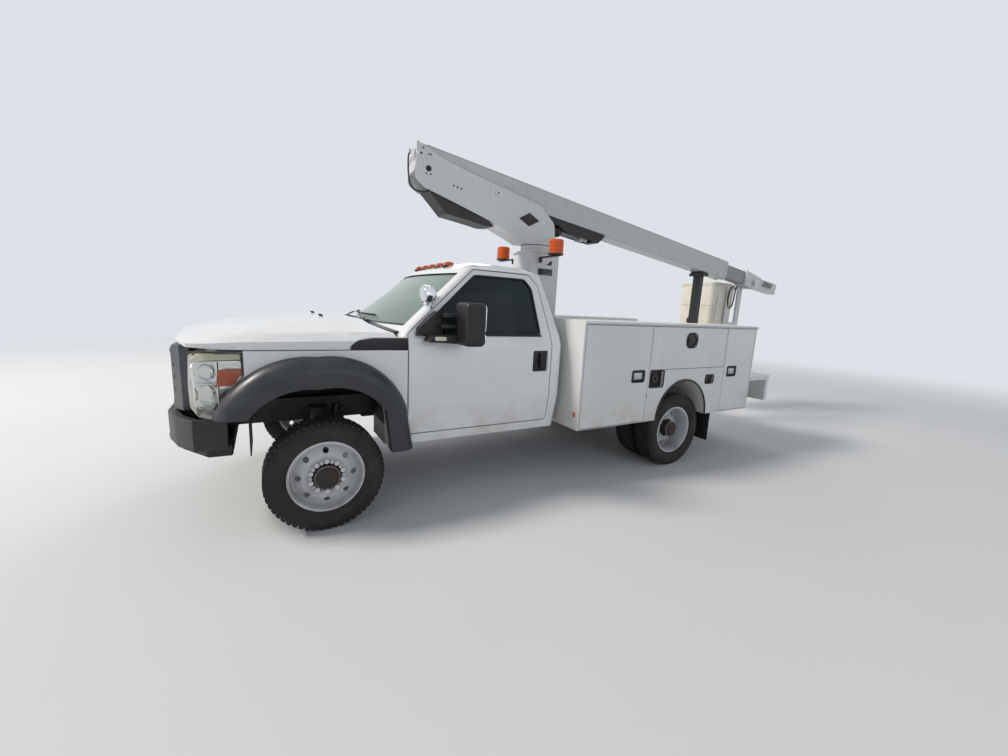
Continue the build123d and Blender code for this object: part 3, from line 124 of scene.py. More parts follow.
def enamel(name, colour, dust, rough, coat, low=450.0, high=1050.0, streak=0.25, grime=0.5):
    """Sprayed enamel on steel: a gloss coat over faint orange peel, road dust that thins out between two
    heights, and rain streaks down the sides."""
    material, tree, shader, place = new_material(name)
    height = add(tree, "ShaderNodeSeparateXYZ", {}, Vector=place).outputs[2]
    cloud = add(tree, NOISE, {}, Vector=place, Scale=1000 / 260, Detail=5.0, Roughness=0.62)
    fall = add(tree, RANGE, SMOOTH, i0=height, i1=high / 1000, i2=low / 1000, i3=0.0, i4=grime)
    patch = add(tree, RANGE, SMOOTH, i0=cloud, i1=0.34, i2=0.7, i3=0.0, i4=1.0)
    splash = add(tree, MATH, TIMES, i0=fall, i1=patch)
    drawn = add(tree, "ShaderNodeMapping", {}, Vector=place, Scale=(1.0, 1.0, 0.05))
    runs = add(tree, NOISE, {}, Vector=drawn, Scale=1000 / 26, Detail=3.0, Roughness=0.6)
    streaks = add(tree, RANGE, SMOOTH, i0=runs, i1=0.52, i2=0.8, i3=0.0, i4=streak)
    haze = add(tree, NOISE, {}, Vector=place, Scale=1000 / 900, Detail=3.0, Roughness=0.6)
    film = add(tree, RANGE, SMOOTH, i0=haze, i1=0.35, i2=0.75, i3=0.0, i4=0.12)
    over = add(tree, MATH, LARGER, i0=streaks, i1=film)
    dirt = add(tree, MATH, LARGER, i0=splash, i1=over)
    shade = add(tree, MIX, COLOURS, i0=dirt, i6=colour, i7=dust)
    dull = add(tree, RANGE, SMOOTH, i0=dirt, i1=0.0, i2=0.6, i3=rough, i4=0.75)
    peel = add(tree, NOISE, {}, Vector=place, Scale=1000 / 7, Detail=1.0)
    relief = add(tree, BUMP, {}, Height=peel, Distance=0.00004, Strength=1.0)
    set_inputs(tree, shader, Base_Color=shade.outputs[2], Roughness=dull, Normal=relief, Coat_Weight=coat,
               Coat_Roughness=0.06)
    return material


def moulded(name, colour, pale, rough, grain_mm, depth_mm, share=0.35):
    """Moulded plastic or rubber: a fine grain, with chalky patches where the sun has aged it."""
    material, tree, shader, place = new_material(name)
    cloud = add(tree, NOISE, {}, Vector=place, Scale=1000 / 180, Detail=5.0, Roughness=0.65)
    patch = add(tree, RANGE, SMOOTH, i0=cloud, i1=0.35, i2=0.75, i3=0.0, i4=share)
    shade = add(tree, MIX, COLOURS, i0=patch, i6=colour, i7=pale)
    dull = add(tree, RANGE, {}, i0=patch, i1=0.0, i2=1.0, i3=rough,
               i4=min(1.0, rough + 0.25))
    grain = add(tree, NOISE, {}, Vector=place, Scale=1000 / grain_mm, Detail=2.0)
    relief = add(tree, BUMP, {}, Height=grain, Distance=depth_mm / 1000, Strength=1.0)
    set_inputs(tree, shader, Base_Color=shade.outputs[2], Roughness=dull, Normal=relief)
    return material


def metal(name, colour, rust, rough, share, grain_mm=3.0, depth_mm=0.1):
    """Bare, plated or galvanised steel: metallic, dulled, with brown rust blooming in patches."""
    material, tree, shader, place = new_material(name)
    cloud = add(tree, NOISE, {}, Vector=place, Scale=1000 / 60, Detail=6.0, Roughness=0.7)
    bloom = add(tree, RANGE, SMOOTH, i0=cloud, i1=0.68 - share * 0.35, i2=0.82, i3=0.0,
                i4=min(1.0, share * 2.5))
    shade = add(tree, MIX, COLOURS, i0=bloom, i6=colour, i7=rust)
    shine = add(tree, RANGE, {}, i0=bloom, i1=0.0, i2=1.0, i3=1.0, i4=0.1)
    dull = add(tree, RANGE, {}, i0=bloom, i1=0.0, i2=1.0, i3=rough, i4=0.85)
    grain = add(tree, NOISE, {}, Vector=place, Scale=1000 / grain_mm, Detail=3.0)
    relief = add(tree, BUMP, {}, Height=grain, Distance=depth_mm / 1000, Strength=1.0)
    set_inputs(tree, shader, Base_Color=shade.outputs[2], Metallic=shine, Roughness=dull, Normal=relief)
    return material


def lens(name, colour, faded, flute_mm=9.0):
    """Dyed lamp plastic: glossy, with fine upright flutes and sun-faded patches."""
    material, tree, shader, place = new_material(name)
    cloud = add(tree, NOISE, {}, Vector=place, Scale=1000 / 70, Detail=4.0)
    tint = add(tree, RANGE, SMOOTH, i0=cloud, i1=0.4, i2=0.8, i3=0.0, i4=0.3)
    shade = add(tree, MIX, COLOURS, i0=tint, i6=colour, i7=faded)
    drawn = add(tree, "ShaderNodeMapping", {}, Vector=place, Scale=(1.0, 1.0, 0.08))
    flutes = add(tree, NOISE, {}, Vector=drawn, Scale=1000 / flute_mm, Detail=1.0)
    relief = add(tree, BUMP, {}, Height=flutes, Distance=0.0006, Strength=1.0)
    set_inputs(tree, shader, Base_Color=shade.outputs[2], Normal=relief, Roughness=0.14, IOR=1.49)
    return material


def film_glass(name, colour, dirt, share, low=None, high=None):
    """Glass or clear plastic as a film: mostly clear, mirror-like at grazing angles, with a dusty haze.
    low and high are the heights of a black printed edge, where the pane has one."""
    material, tree, shader, place = new_material(name)
    cloud = add(tree, NOISE, {}, Vector=place, Scale=1000 / 300, Detail=4.0)
    haze = add(tree, RANGE, SMOOTH, i0=cloud, i1=0.3, i2=0.8, i3=0.0, i4=0.35)
    shade = add(tree, MIX, COLOURS, i0=haze, i6=colour, i7=dirt)
    clear = add(tree, "ShaderNodeBsdfTransparent", {}, Color=colour)
    facing = add(tree, "ShaderNodeLayerWeight", {}, Blend=0.35)
    amount = add(tree, RANGE, {}, i0=facing.outputs["Facing"], i1=0.0, i2=1.0, i3=share, i4=0.95)
    solid = amount
    base = shade.outputs[2]
    if low:
        height = add(tree, "ShaderNodeSeparateXYZ", {}, Vector=place).outputs[2]
        foot = add(tree, RANGE, {}, i0=height, i1=low - 0.012, i2=low, i3=1.0, i4=0.0)
        head = add(tree, RANGE, {}, i0=height, i1=high, i2=high + 0.012, i3=0.0, i4=1.0)
        edge = add(tree, MATH, LARGER, i0=foot, i1=head)
        solid = add(tree, MATH, LARGER, i0=solid, i1=edge)
        base = add(tree, MIX, COLOURS, i0=edge, i6=base, i7="#0c0d0e").outputs[2]
    mixed = add(tree, "ShaderNodeMixShader", {}, i0=solid, i1=clear, i2=shader)
    show(tree, mixed)
    set_inputs(tree, shader, Base_Color=base, Roughness=0.04, IOR=1.5)
    return material


# Gloss white cab paint, cleaner and shinier than the body behind it
CAB_ENAMEL = enamel("cab_white_enamel", "#e6e8ea", "#9b8c77", 0.3, 0.9, grime=0.5, streak=0.05)
# White paint on the lockers, duller, with rain streaks
BODY_ENAMEL = enamel("body_white_enamel", "#e0e1e0", "#8d8273", 0.42, 0.5, grime=0.4, streak=0.22)
# White paint on the lift, a shade greyer and chalky
LIFT_ENAMEL = enamel("lift_white_enamel", "#d3d5d6", "#8a8577", 0.45, 0.4, low=200, high=400, streak=0.26)
# White paint on the boom, greyed as painted shade: a shade darker than the turret's cheeks in front of it
BOOM_SHADED_ENAMEL = enamel("boom_white_enamel_painted_shade", "#bfc2c4", "#85817a", 0.42, 0.4, low=200, high=400, streak=0.3)
# White paint on pressed steel wheels, with road grime
RIM_ENAMEL = enamel("rim_white_enamel", "#c9ccd0", "#6d5f4f", 0.42, 0.3, low=50, high=800, streak=0.2,
                    grime=0.75)
# Black chassis paint on steel
FRAME_BLACK = enamel("frame_black_paint", "#17181a", "#5d5040", 0.5, 0.1, low=300, high=1000, streak=0.3,
                     grime=0.65)
# Semi-gloss grained plastic of the flares: dark grey with a soft highlight
FLARE_PLASTIC = moulded("flare_moulded_plastic", "#2b2e32", "#4b4e51", 0.34, 2.5, 0.10)
# Black textured plastic of mirrors, handles and trims
BLACK_PLASTIC = moulded("black_moulded_plastic", "#0a0a0b", "#1a1a1c", 0.42, 2.0, 0.06)
# Grey moulded plastic of the grille
GRILLE_PLASTIC = moulded("grille_grey_plastic", "#4a4d51", "#75787a", 0.3, 3.0, 0.05)
# Tyre rubber, greyed by dust
TYRE_RUBBER = moulded("tyre_rubber", "#1a1a1b", "#514a41", 0.8, 4.0, 0.3, share=0.5)
# Black rubber of seals, wiper blades and mud flaps
SEAL_RUBBER = moulded("seal_rubber", "#0e0f10", "#242425", 0.55, 2.0, 0.05)
# Vacuum-plated reflector, its facets drawn coarse enough to show
LAMP_CHROME = metal("lamp_reflector_chrome", "#e3e5e8", "#c4c2b8", 0.1, 0.0, grain_mm=28.0, depth_mm=5.0)
# Polished chrome plate
BRIGHT_CHROME = metal("polished_chrome", "#e6e8ea", "#a8a6a0", 0.06, 0.0, grain_mm=40.0, depth_mm=0.05)
# Aluminium as it leaves the mill, of hinges and rails
ALUMINIUM = metal("mill_aluminium", "#b9bcbf", "#8f8a80", 0.35, 0.1, grain_mm=2.0, depth_mm=0.05)
# Bare steel with patches of rust
WORN_STEEL = metal("worn_steel", "#8d8f92", "#5a3a26", 0.45, 0.6)
# Zinc-plated steel of bolts and pins
PIN_STEEL = metal("zinc_plated_steel", "#c9cbcc", "#8a7a60", 0.32, 0.15)
# Cast iron, browned by rust
CAST_IRON = moulded("cast_iron", "#2c2b2a", "#5a4132", 0.75, 5.0, 0.5, share=0.6)
# Laminated windscreen glass with a black printed edge
SCREEN_GLASS = film_glass("windscreen_glass", "#a9bbb5", "#8f9a95", 0.2, 1.506, 1.908)
# Tinted glass of the door windows
WINDOW_GLASS = film_glass("window_glass", "#66777c", "#56646a", 0.12)
# Clear plastic of the lamp covers
LAMP_CLEAR = film_glass("lamp_clear_plastic", "#f2f3ef", "#d8d3bd", 0.05)
# Amber plastic of the turn lamps and beacons
LAMP_AMBER = lens("lamp_amber_plastic", "#c8500a", "#d97226")
# Red plastic of the tail lamps
LAMP_RED = lens("lamp_red_plastic", "#8f1210", "#b5443a")
# Clear lamp plastic that the sun has yellowed
LAMP_CREAM = lens("lamp_yellowed_plastic", "#dcd9c4", "#c9bf98", 30.0)
# Grey glassfibre of the inner boom
GREY_GLASSFIBRE = moulded("grey_glassfibre", "#8d9092", "#aaaba7", 0.42, 6.0, 0.05)
# White gelcoat over glassfibre, the bucket
WHITE_GLASSFIBRE = moulded("white_glassfibre", "#e4e0d4", "#b9b09a", 0.4, 8.0, 0.06)
# Cream moulded plastic of the bucket's lid
LID_PLASTIC = moulded("lid_cream_plastic", "#e7e3d6", "#bdb39c", 0.5, 5.0, 0.08)
# Woven seat cloth, its weave shown as a 3 mm grain
SEAT_CLOTH = moulded("seat_grey_cloth", "#4b4c50", "#6b6a68", 0.95, 3.0, 0.5)
# White nylon of wear pads and pin caps
PAD_NYLON = moulded("white_nylon", "#e9e7e0", "#c9c2ae", 0.5, 4.0, 0.05)
# Grey moulded plastic inside the cab
CABIN_PLASTIC = moulded("cabin_grey_plastic", "#55565a", "#77787a", 0.6, 2.0, 0.1)
# Black rubber of the hydraulic hoses
HOSE_RUBBER = moulded("hose_rubber", "#141414", "#33312e", 0.5, 3.0, 0.08)

# The frame's slot that each material goes with, where a piece isn't a CAD node's own skin
SLOTS = {BODY_ENAMEL: NODE_SLOT["service_body"], LIFT_ENAMEL: NODE_SLOT["pedestal"],
         BOOM_SHADED_ENAMEL: NODE_SLOT["outer_boom"], WHITE_GLASSFIBRE: NODE_SLOT["bucket"],
         FRAME_BLACK: "chassis_black", CAST_IRON: "cast_grey", PAD_NYLON: "fibreglass_white",
         SEAT_CLOTH: "seat_cloth", LAMP_AMBER: "lamp_amber", LAMP_RED: "lamp_red", LAMP_CREAM: "lamp_clear"}
SLOTS.update(dict.fromkeys((BLACK_PLASTIC, CABIN_PLASTIC), "black_plastic"))
SLOTS.update(dict.fromkeys((TYRE_RUBBER, SEAL_RUBBER), "tyre_rubber"))
SLOTS.update(dict.fromkeys((LAMP_CHROME, BRIGHT_CHROME, ALUMINIUM, WORN_STEEL, PIN_STEEL), "steel"))


# Meshes, in millimetres

def faced(place, direction, up="Y"):
    """A place whose Z axis looks along the direction."""
    return Matrix.Translation(place) @ Vector(direction).to_track_quat("Z", up).to_matrix().to_4x4()


def outward(x, y, z):
    """A place on one of the truck's sides that looks straight out from it."""
    return faced((x, y, z), (0, math.copysign(1, y), 0), "X")


def beveled(bm, verts, width, segments=2):
    edges = {e for v in verts for e in v.link_edges if len(e.link_faces) == 2 and e.calc_face_angle(0) > 0.4}
    if width and edges:
        bmesh.ops.bevel(bm, geom=list(edges), offset=width, segments=segments, profile=0.5, affect="EDGES",
                        clamp_overlap=True)


def add_box(bm, lo, hi, bevel=0.0, turn=None, segments=2):
    verts = bmesh.ops.create_cube(bm, size=1.0)["verts"]
    middle = (Vector(lo) + Vector(hi)) / 2
    size = [abs(b - a) for a, b in zip(lo, hi)]
    place = Matrix.Translation(middle) @ (turn or Matrix()) @ Matrix.Diagonal((*size, 1.0))
    bmesh.ops.transform(bm, matrix=place, verts=verts)
    beveled(bm, verts, bevel, segments)


def add_prism(bm, outline, low, high, axis="Y", bevel=0.0, segments=2, place=None):
    """An outline drawn across one axis, filled from low to high along it. Y: (X, Z). Z: (X, Y). X: (Y, Z)."""
    spot = {"Y": lambda a, b, h: (a, h, b), "Z": lambda a, b, h: (a, b, h),
            "X": lambda a, b, h: (h, a, b)}[axis]
    rings = [[bm.verts.new(spot(a, b, h)) for a, b in outline] for h in (low, high)]
    count = len(outline)
    faces = [bm.faces.new(rings[0]), bm.faces.new(list(reversed(rings[1])))]
    for i in range(count):
        j = (i + 1) % count
        faces.append(bm.faces.new((rings[0][i], rings[1][i], rings[1][j], rings[0][j])))
    bmesh.ops.recalc_face_normals(bm, faces=faces)
    if place:
        bmesh.ops.transform(bm, matrix=place, verts=rings[0] + rings[1])
    beveled(bm, rings[0] + rings[1], bevel, segments)


def rounded(x0, x1, z0, z1, radius, steps=4):
    """A rectangle's outline with round corners."""
    points = []
    for cx, cz, start in ((x1 - radius, z1 - radius, 0), (x0 + radius, z1 - radius, 90),
                          (x0 + radius, z0 + radius, 180), (x1 - radius, z0 + radius, 270)):
        for i in range(steps + 1):
            t = math.radians(start + 90 * i / steps)
            points.append((cx + radius * math.cos(t), cz + radius * math.sin(t)))
    return points


def add_lathe(bm, profile, place, segments=40):
    """Turns (distance along, radius) points about the Z axis of a place. A profile that returns to its start
    is closed into a ring."""
    closed = profile[0] == profile[-1]
    rings = []
    for along, radius in profile[:-1] if closed else profile:
        if radius <= 1e-6:
            rings.append([bm.verts.new(place @ Vector((0, 0, along)))])
            continue
        rings.append([bm.verts.new(place @ Vector((radius * math.cos(t), radius * math.sin(t), along)))
                      for t in (2 * math.pi * i / segments for i in range(segments))])
    faces = []
    for a, b in zip(rings, rings[1:] + ([rings[0]] if closed else [])):
        for i in range(segments):
            j = (i + 1) % segments
            corners = [a[i % len(a)], a[j % len(a)], b[j % len(b)], b[i % len(b)]]
            corners = [v for k, v in enumerate(corners) if v not in corners[:k]]
            if len(corners) > 2:
                faces.append(bm.faces.new(corners))
    bmesh.ops.recalc_face_normals(bm, faces=faces)


def smooth_path(points, steps=8):
    """Points of a smooth curve that passes through the given ones."""
    rows = [Vector(p) for p in points]
    rows = [rows[0] * 2 - rows[1]] + rows + [rows[-1] * 2 - rows[-2]]
    out = []
    for a, b, c, d in zip(rows, rows[1:], rows[2:], rows[3:]):
        for i in range(steps):
            t = i / steps
            out.append(0.5 * ((2 * b) + (c - a) * t + (2 * a - 5 * b + 4 * c - d) * t * t
                              + (3 * b - a - 3 * c + d) * t ** 3))
    return out + [rows[-2]]


def add_tube(bm, path, radius, sides=12, loop=False, flat=1.0):
    """A round or flattened bar along a path, closed at its ends or into a loop."""
    path = [Vector(p) for p in path]
    last = len(path) - 1
    rings = []
    up = Vector((0, 0, 1))
    for i, p in enumerate(path):
        after = path[(i + 1) % len(path)] if loop else path[min(i + 1, last)]
        before = path[i - 1] if loop else path[max(i - 1, 0)]
        ahead = (after - before).normalized()
        if abs(ahead.dot(up)) > 0.95:
            up = Vector((1, 0, 0)) if abs(ahead.x) < 0.9 else Vector((0, 1, 0))
        across = ahead.cross(up).normalized()
        up = across.cross(ahead).normalized()
        rings.append([bm.verts.new(p + radius * (flat * math.cos(t) * across + math.sin(t) * up))
                      for t in (2 * math.pi * k / sides for k in range(sides))])
    faces = [] if loop else [bm.faces.new(rings[0]), bm.faces.new(rings[-1])]
    for a, b in zip(rings, rings[1:] + (rings[:1] if loop else [])):
        faces += [bm.faces.new((a[k], a[(k + 1) % sides], b[(k + 1) % sides], b[k])) for k in range(sides)]
    bmesh.ops.recalc_face_normals(bm, faces=faces)


def add_mesh(bm, mesh, place):
    """A finished mesh set into the shape at a place, or at a point."""
    moved = mesh.copy()
    moved.transform(place if isinstance(place, Matrix) else Matrix.Translation(place))
    bm.from_mesh(moved)
    bpy.data.meshes.remove(moved)


def finished(name, bm, material, body="chassis", slot=None, replaces=(), place=TO_ROW, degrees=32.0):
    """Turns a shape into one piece that rides on a body. Its slot, its material's own or the one given, is
    looked up but not given to the piece.
    """
    slot = slot or SLOTS[material]
    bmesh.ops.transform(bm, matrix=place, verts=bm.verts[:])
    mesh = bpy.data.meshes.new(name)
    bm.to_mesh(mesh)
    bm.free()
    obj = bpy.data.objects.new(name, mesh)
    bpy.context.scene.collection.objects.link(obj)
    mesh.materials.append(material)
    mesh.shade_smooth()
    mesh.set_sharp_from_angle(angle=math.radians(degrees))
    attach(obj, body)
    if replaces:
        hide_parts(*replaces)
    return obj


def baked(obj):
    """Makes the object's modifiers into its mesh."""
    graph = bpy.context.evaluated_depsgraph_get()
    mesh = bpy.data.meshes.new_from_object(obj.evaluated_get(graph), preserve_all_data_layers=True,
                                           depsgraph=graph)
    obj.modifiers.clear()
    old = obj.data
    obj.data = mesh
    bpy.data.meshes.remove(old)


def dressed(node, material, edge_mm, degrees=30.0, segments=3):
    """A copy of a CAD node with its doubles merged and its edges rounded, shown in its place."""
    bm = bmesh.new()
    bm.from_mesh(NODES[node].data)
    bmesh.ops.remove_doubles(bm, verts=bm.verts[:], dist=0.00002)
    bmesh.ops.dissolve_limit(bm, angle_limit=math.radians(0.6), verts=bm.verts[:], edges=bm.edges[:],
                             delimit={"NORMAL"})
    obj = finished(f"{node}_skin", bm, material, NODE_BODY[node], NODE_SLOT[node], (node,), Matrix(), degrees)
    rounding = obj.modifiers.new("edges", "BEVEL")
    rounding.width = edge_mm / 1000
    rounding.segments = segments
    rounding.limit_method = "ANGLE"
    rounding.angle_limit = math.radians(degrees)
    rounding.use_clamp_overlap = True
    rounding.harden_normals = True
    baked(obj)


def recoloured(node, material):
    """Gives a CAD node that is shown as it is its material."""
    NODES[node].data.materials.clear()
    NODES[node].data.materials.append(material)


# Geometry Nodes: what repeats. Sizes are millimetres, and every tree ends in Realize Instances and Set
# Material.

def pattern_tree(name, **sizes):
    """A node tree with one named input for each size, and its material; and those inputs."""
    tree = bpy.data.node_groups.new(name, "GeometryNodeTree")
    for key, kind in {**sizes, "Material": "Material"}.items():
        tree.interface.new_socket(key, in_out="INPUT", socket_type=f"NodeSocket{kind}")
    tree.interface.new_socket("Geometry", in_out="OUTPUT", socket_type="NodeSocketGeometry")
    return tree, add(tree, "NodeGroupInput", {}).outputs


def end_tree(tree, size, instances):
    real = add(tree, "GeometryNodeRealizeInstances", {}, Geometry=instances)
    coloured = add(tree, "GeometryNodeSetMaterial", {}, Geometry=real, Material=size["Material"])
    add(tree, "NodeGroupOutput", {}, i0=coloured)
    return tree


def bolt_ring_tree():
    """Six-sided heads on a circle."""
    tree, size = pattern_tree("bolt_ring", Count="Int", Circle="Float", Sides="Int", Radius="Float",
                              Height="Float")
    ring = add(tree, "GeometryNodeMeshCircle", {}, Vertices=size["Count"], Radius=size["Circle"])
    head = add(tree, "GeometryNodeMeshCylinder", {}, Vertices=size["Sides"],
               Radius=size["Radius"], Depth=size["Height"])
    heads = add(tree, "GeometryNodeInstanceOnPoints", {}, Points=ring, Instance=head)
    return end_tree(tree, size, heads)


def block_ring_tree():
    """Blocks standing on a circle, each with its X axis outwards: tyre tread."""
    tree, size = pattern_tree("block_ring", Count="Int", Circle="Float", Block="Vector", Slant="Float")
    ring = add(tree, "GeometryNodeMeshCircle", {}, Vertices=size["Count"], Radius=size["Circle"])
    block = add(tree, "GeometryNodeMeshCube", {}, Size=size["Block"])
    slant = add(tree, "ShaderNodeCombineXYZ", {}, X=size["Slant"])
    leaned = add(tree, "GeometryNodeTransform", {}, Geometry=block, Rotation=slant)
    outward = add(tree, "GeometryNodeInputPosition", {})
    turn = add(tree, "FunctionNodeAlignRotationToVector", {"axis": "X"}, Vector=outward)
    blocks = add(tree, "GeometryNodeInstanceOnPoints", {}, Points=ring, Instance=leaned,
                 Rotation=turn)
    return end_tree(tree, size, blocks)


def row_tree():
    """Bars or blocks in a straight row."""
    tree, size = pattern_tree("row", Count="Int", Step="Vector", Block="Vector", Turn="Vector")
    line = add(tree, "GeometryNodeMeshLine", {}, Count=size["Count"], Offset=size["Step"])
    block = add(tree, "GeometryNodeMeshCube", {}, Size=size["Block"])
    blocks = add(tree, "GeometryNodeInstanceOnPoints", {}, Points=line, Instance=block,
                 Rotation=size["Turn"])
    return end_tree(tree, size, blocks)


def lozenge_tree():
    """Raised lozenges of tread plate, turned one way and the other in turn."""
    tree, size = pattern_tree("lozenges", Length="Float", Width="Float", Along="Int", Across="Int",
                              Lozenge="Vector")
    grid = add(tree, "GeometryNodeMeshGrid", {}, i0=size["Length"], i1=size["Width"],
               i2=size["Along"], i3=size["Across"])
    bar = add(tree, "GeometryNodeMeshCylinder", {}, Vertices=4, Radius=1.0, Depth=1.0)
    shaped = add(tree, "GeometryNodeTransform", {}, Geometry=bar, Scale=size["Lozenge"])
    index = add(tree, "GeometryNodeInputIndex", {})
    half = add(tree, MATH, {"operation": "MODULO"}, i0=index, i1=2.0)
    angle = add(tree, MATH, {"operation": "MULTIPLY_ADD"}, i0=half, i1=math.radians(90),
                i2=math.radians(-45))
    turn = add(tree, "ShaderNodeCombineXYZ", {}, Z=angle)
    bars = add(tree, "GeometryNodeInstanceOnPoints", {}, Points=grid, Instance=shaped,
               Rotation=turn)
    return end_tree(tree, size, bars)


BOLT_RING = bolt_ring_tree()
BLOCK_RING = block_ring_tree()
ROW = row_tree()
LOZENGES = lozenge_tree()


def grown(tree, material, **sizes):
    """The plain mesh that a tree makes with these sizes."""
    holder = bpy.data.objects.new("pattern", bpy.data.meshes.new("pattern"))
    bpy.context.scene.collection.objects.link(holder)
    modifier = holder.modifiers.new("pattern", "NODES")
    modifier.node_group = tree
    for item in tree.interface.items_tree:
        if item.in_out == "INPUT":
            modifier[item.identifier] = material if item.name == "Material" else sizes[item.name.lower()]
    graph = bpy.context.evaluated_depsgraph_get()
    mesh = bpy.data.meshes.new_from_object(holder.evaluated_get(graph), depsgraph=graph)
    bpy.data.objects.remove(holder)
    return mesh


# Pieces that keep their CAD shape, with rounded edges

# Columns: node, material, rounding of its edges
ROUNDED = (
    ("cab_shell", CAB_ENAMEL, 9.0), ("hood", CAB_ENAMEL, 10.0),
    ("front_fenders", CAB_ENAMEL, 6.0), ("fender_flares", FLARE_PLASTIC, 14.0),
    ("cowl_panel", BLACK_PLASTIC, 4.0), ("wheel_liners", BLACK_PLASTIC, 2.0),
    ("service_body", BODY_ENAMEL, 2.5), ("rear_shelf", BODY_ENAMEL, 3.0),
    ("pedestal", LIFT_ENAMEL, 3.0), ("turret", LIFT_ENAMEL, 3.0),
    ("turret_cover", BLACK_PLASTIC, 4.0), ("outer_boom", BOOM_SHADED_ENAMEL, 2.0),
    ("boom_housing", BLACK_PLASTIC, 4.0), ("inner_boom", GREY_GLASSFIBRE, 2.0),
    ("boom_tip", LIFT_ENAMEL, 3.0), ("platform_bracket", LIFT_ENAMEL, 2.0),
    ("bucket", WHITE_GLASSFIBRE, 4.0), ("bucket_cover", LID_PLASTIC, 6.0),
    ("front_bumper", FRAME_BLACK, 5.0), ("grille", GRILLE_PLASTIC, 6.0),
    ("headlamps", LAMP_CLEAR, 8.0), ("frame_rails", FRAME_BLACK, 1.5),
    ("dashboard", CABIN_PLASTIC, 8.0), ("boom_rest", FRAME_BLACK, 2.0),
    ("spotlight", BRIGHT_CHROME, 3.0))
for node, material, edge in ROUNDED:
    dressed(node, material, edge)
# Columns: node, material
PLAIN = (
    ("front_axle", CAST_IRON), ("rear_axle", CAST_IRON), ("springs", FRAME_BLACK),
    ("engine_block", CAST_IRON), ("driveshaft", WORN_STEEL), ("exhaust", WORN_STEEL),
    ("fuel_tank", BLACK_PLASTIC), ("cab_glass", SCREEN_GLASS), ("tail_lamps", LAMP_RED),
    ("lift_barrel", FRAME_BLACK), ("lift_rod", WORN_STEEL))
for node, material in PLAIN:
    recoloured(node, material)
for side, sign in SIDES:
    for name, material, edge in (("door", CAB_ENAMEL, 6.0), ("mirror", BLACK_PLASTIC, 8.0),
                                 ("front_wheel", RIM_ENAMEL, 2.0), ("rear_wheels", RIM_ENAMEL, 2.0),
                                 ("locker_front", BODY_ENAMEL, 3.0), ("locker_side", BODY_ENAMEL, 3.0),
                                 ("locker_rear", BODY_ENAMEL, 3.0)):
        dressed(f"{name}_{side}", material, edge)
    for name, material in (("door_glass", WINDOW_GLASS), ("knuckle", CAST_IRON)):
        recoloured(f"{name}_{side}", material)


# Tyres, nuts and hubs

# Columns: distance from the tyre's middle, radius
TYRE_PROFILE = [(-84, 264), (-96, 270), (-105, 292), (-112, 318), (-113, 336), (-111, 340), (-111, 346),
                (-109, 362), (-103, 380), (-94, 391), (-82, 396), (-40, 399), (40, 399), (82, 396),
                (94, 391), (103, 380), (109, 362), (111, 346), (111, 340), (113, 336), (112, 318),
                (105, 292), (96, 270), (84, 264), (84, 258), (-84, 258), (-84, 264)]
# Columns: distance from the middle, block length along the axle, turn between blocks, slant
TREAD_ROWS = ((-78.0, 34.0, 0.0, 0.18), (-38.0, 30.0, 0.5, -0.3), (0.0, 30.0, 0.0, 0.3),
              (38.0, 30.0, 0.5, -0.3), (78.0, 34.0, 0.0, 0.18))
TREAD_BLOCKS = 54
# Columns: wheel, tyre's node, X, Y of each tyre, Y of the disc, how far the hub stands out
WHEELS = (("front", "front_tyre", 0.0, (FRONT_Y,), FRONT_Y + 60.0, 60.0),
          ("rear", "rear_tyres", REAR_X, (OUTER_Y, OUTER_Y - DUAL_PITCH), OUTER_Y - 40.0, 110.0))


def add_tyre(bm, place):
    add_lathe(bm, TYRE_PROFILE, place, 96)
    for along, length, turn, slant in TREAD_ROWS:
        blocks = grown(BLOCK_RING, TYRE_RUBBER, count=TREAD_BLOCKS, circle=398.0, block=(15.0, 33.0, length),
                       slant=slant)
        step = Matrix.Rotation(2 * math.pi / TREAD_BLOCKS * turn, 4, "Z")
        add_mesh(bm, blocks, place @ Matrix.Translation((0, 0, along)) @ step)
    ribs = grown(BLOCK_RING, TYRE_RUBBER, count=TREAD_BLOCKS * 2, circle=372.0, block=(22.0, 4.0, 3.0),
                 slant=0.0)
    for along in (-108.0, 108.0):
        add_mesh(bm, ribs, place @ Matrix.Translation((0, 0, along)))


def wheels(side, sign):
    """Tyres with tread blocks, hexagon nuts, a dark hub and a valve on each wheel."""
    for name, node, x, y_list, disc, reach in WHEELS:
        body = NODE_BODY[f"{node}_{side}"]
        bm = bmesh.new()
        for y in y_list:
            add_tyre(bm, outward(x, sign * y, AXLE_Z))
        finished(f"{node}_rubber_{side}", bm, TYRE_RUBBER, body, replaces=(f"{node}_{side}",))
        place = outward(x, sign * disc, AXLE_Z)
        bm = bmesh.new()
        nuts = grown(BOLT_RING, PIN_STEEL, count=10, circle=112.5, sides=6, radius=18.0, height=22.0)
        add_mesh(bm, nuts, place @ Matrix.Translation((0, 0, 19)))
        studs = grown(BOLT_RING, PIN_STEEL, count=10, circle=112.5, sides=10, radius=9.0, height=20.0)
        add_mesh(bm, studs, place @ Matrix.Translation((0, 0, 32)))
        finished(f"{name}_wheel_nuts_{side}", bm, PIN_STEEL, body)
        bm = bmesh.new()
        add_lathe(bm, [(2, 0), (2, 99), (9, 99), (9, 88), (reach - 14, 88), (reach, 74), (reach + 6, 60),
                       (reach + 6, 0)], place)
        caps = grown(BOLT_RING, CAST_IRON, count=8, circle=66.0, sides=6, radius=7.0, height=6.0)
        add_mesh(bm, caps, place @ Matrix.Translation((0, 0, reach + 7)))
        add_tube(bm, [place @ Vector(p) for p in ((205, 0, 2), (206, 0, 22), (216, 0, 40))], 4.5, 8)
        finished(f"{name}_hub_cover_{side}", bm, CAST_IRON, body)


# Headlamps: plated inside, amber turn section and yellowed top behind the clear cover

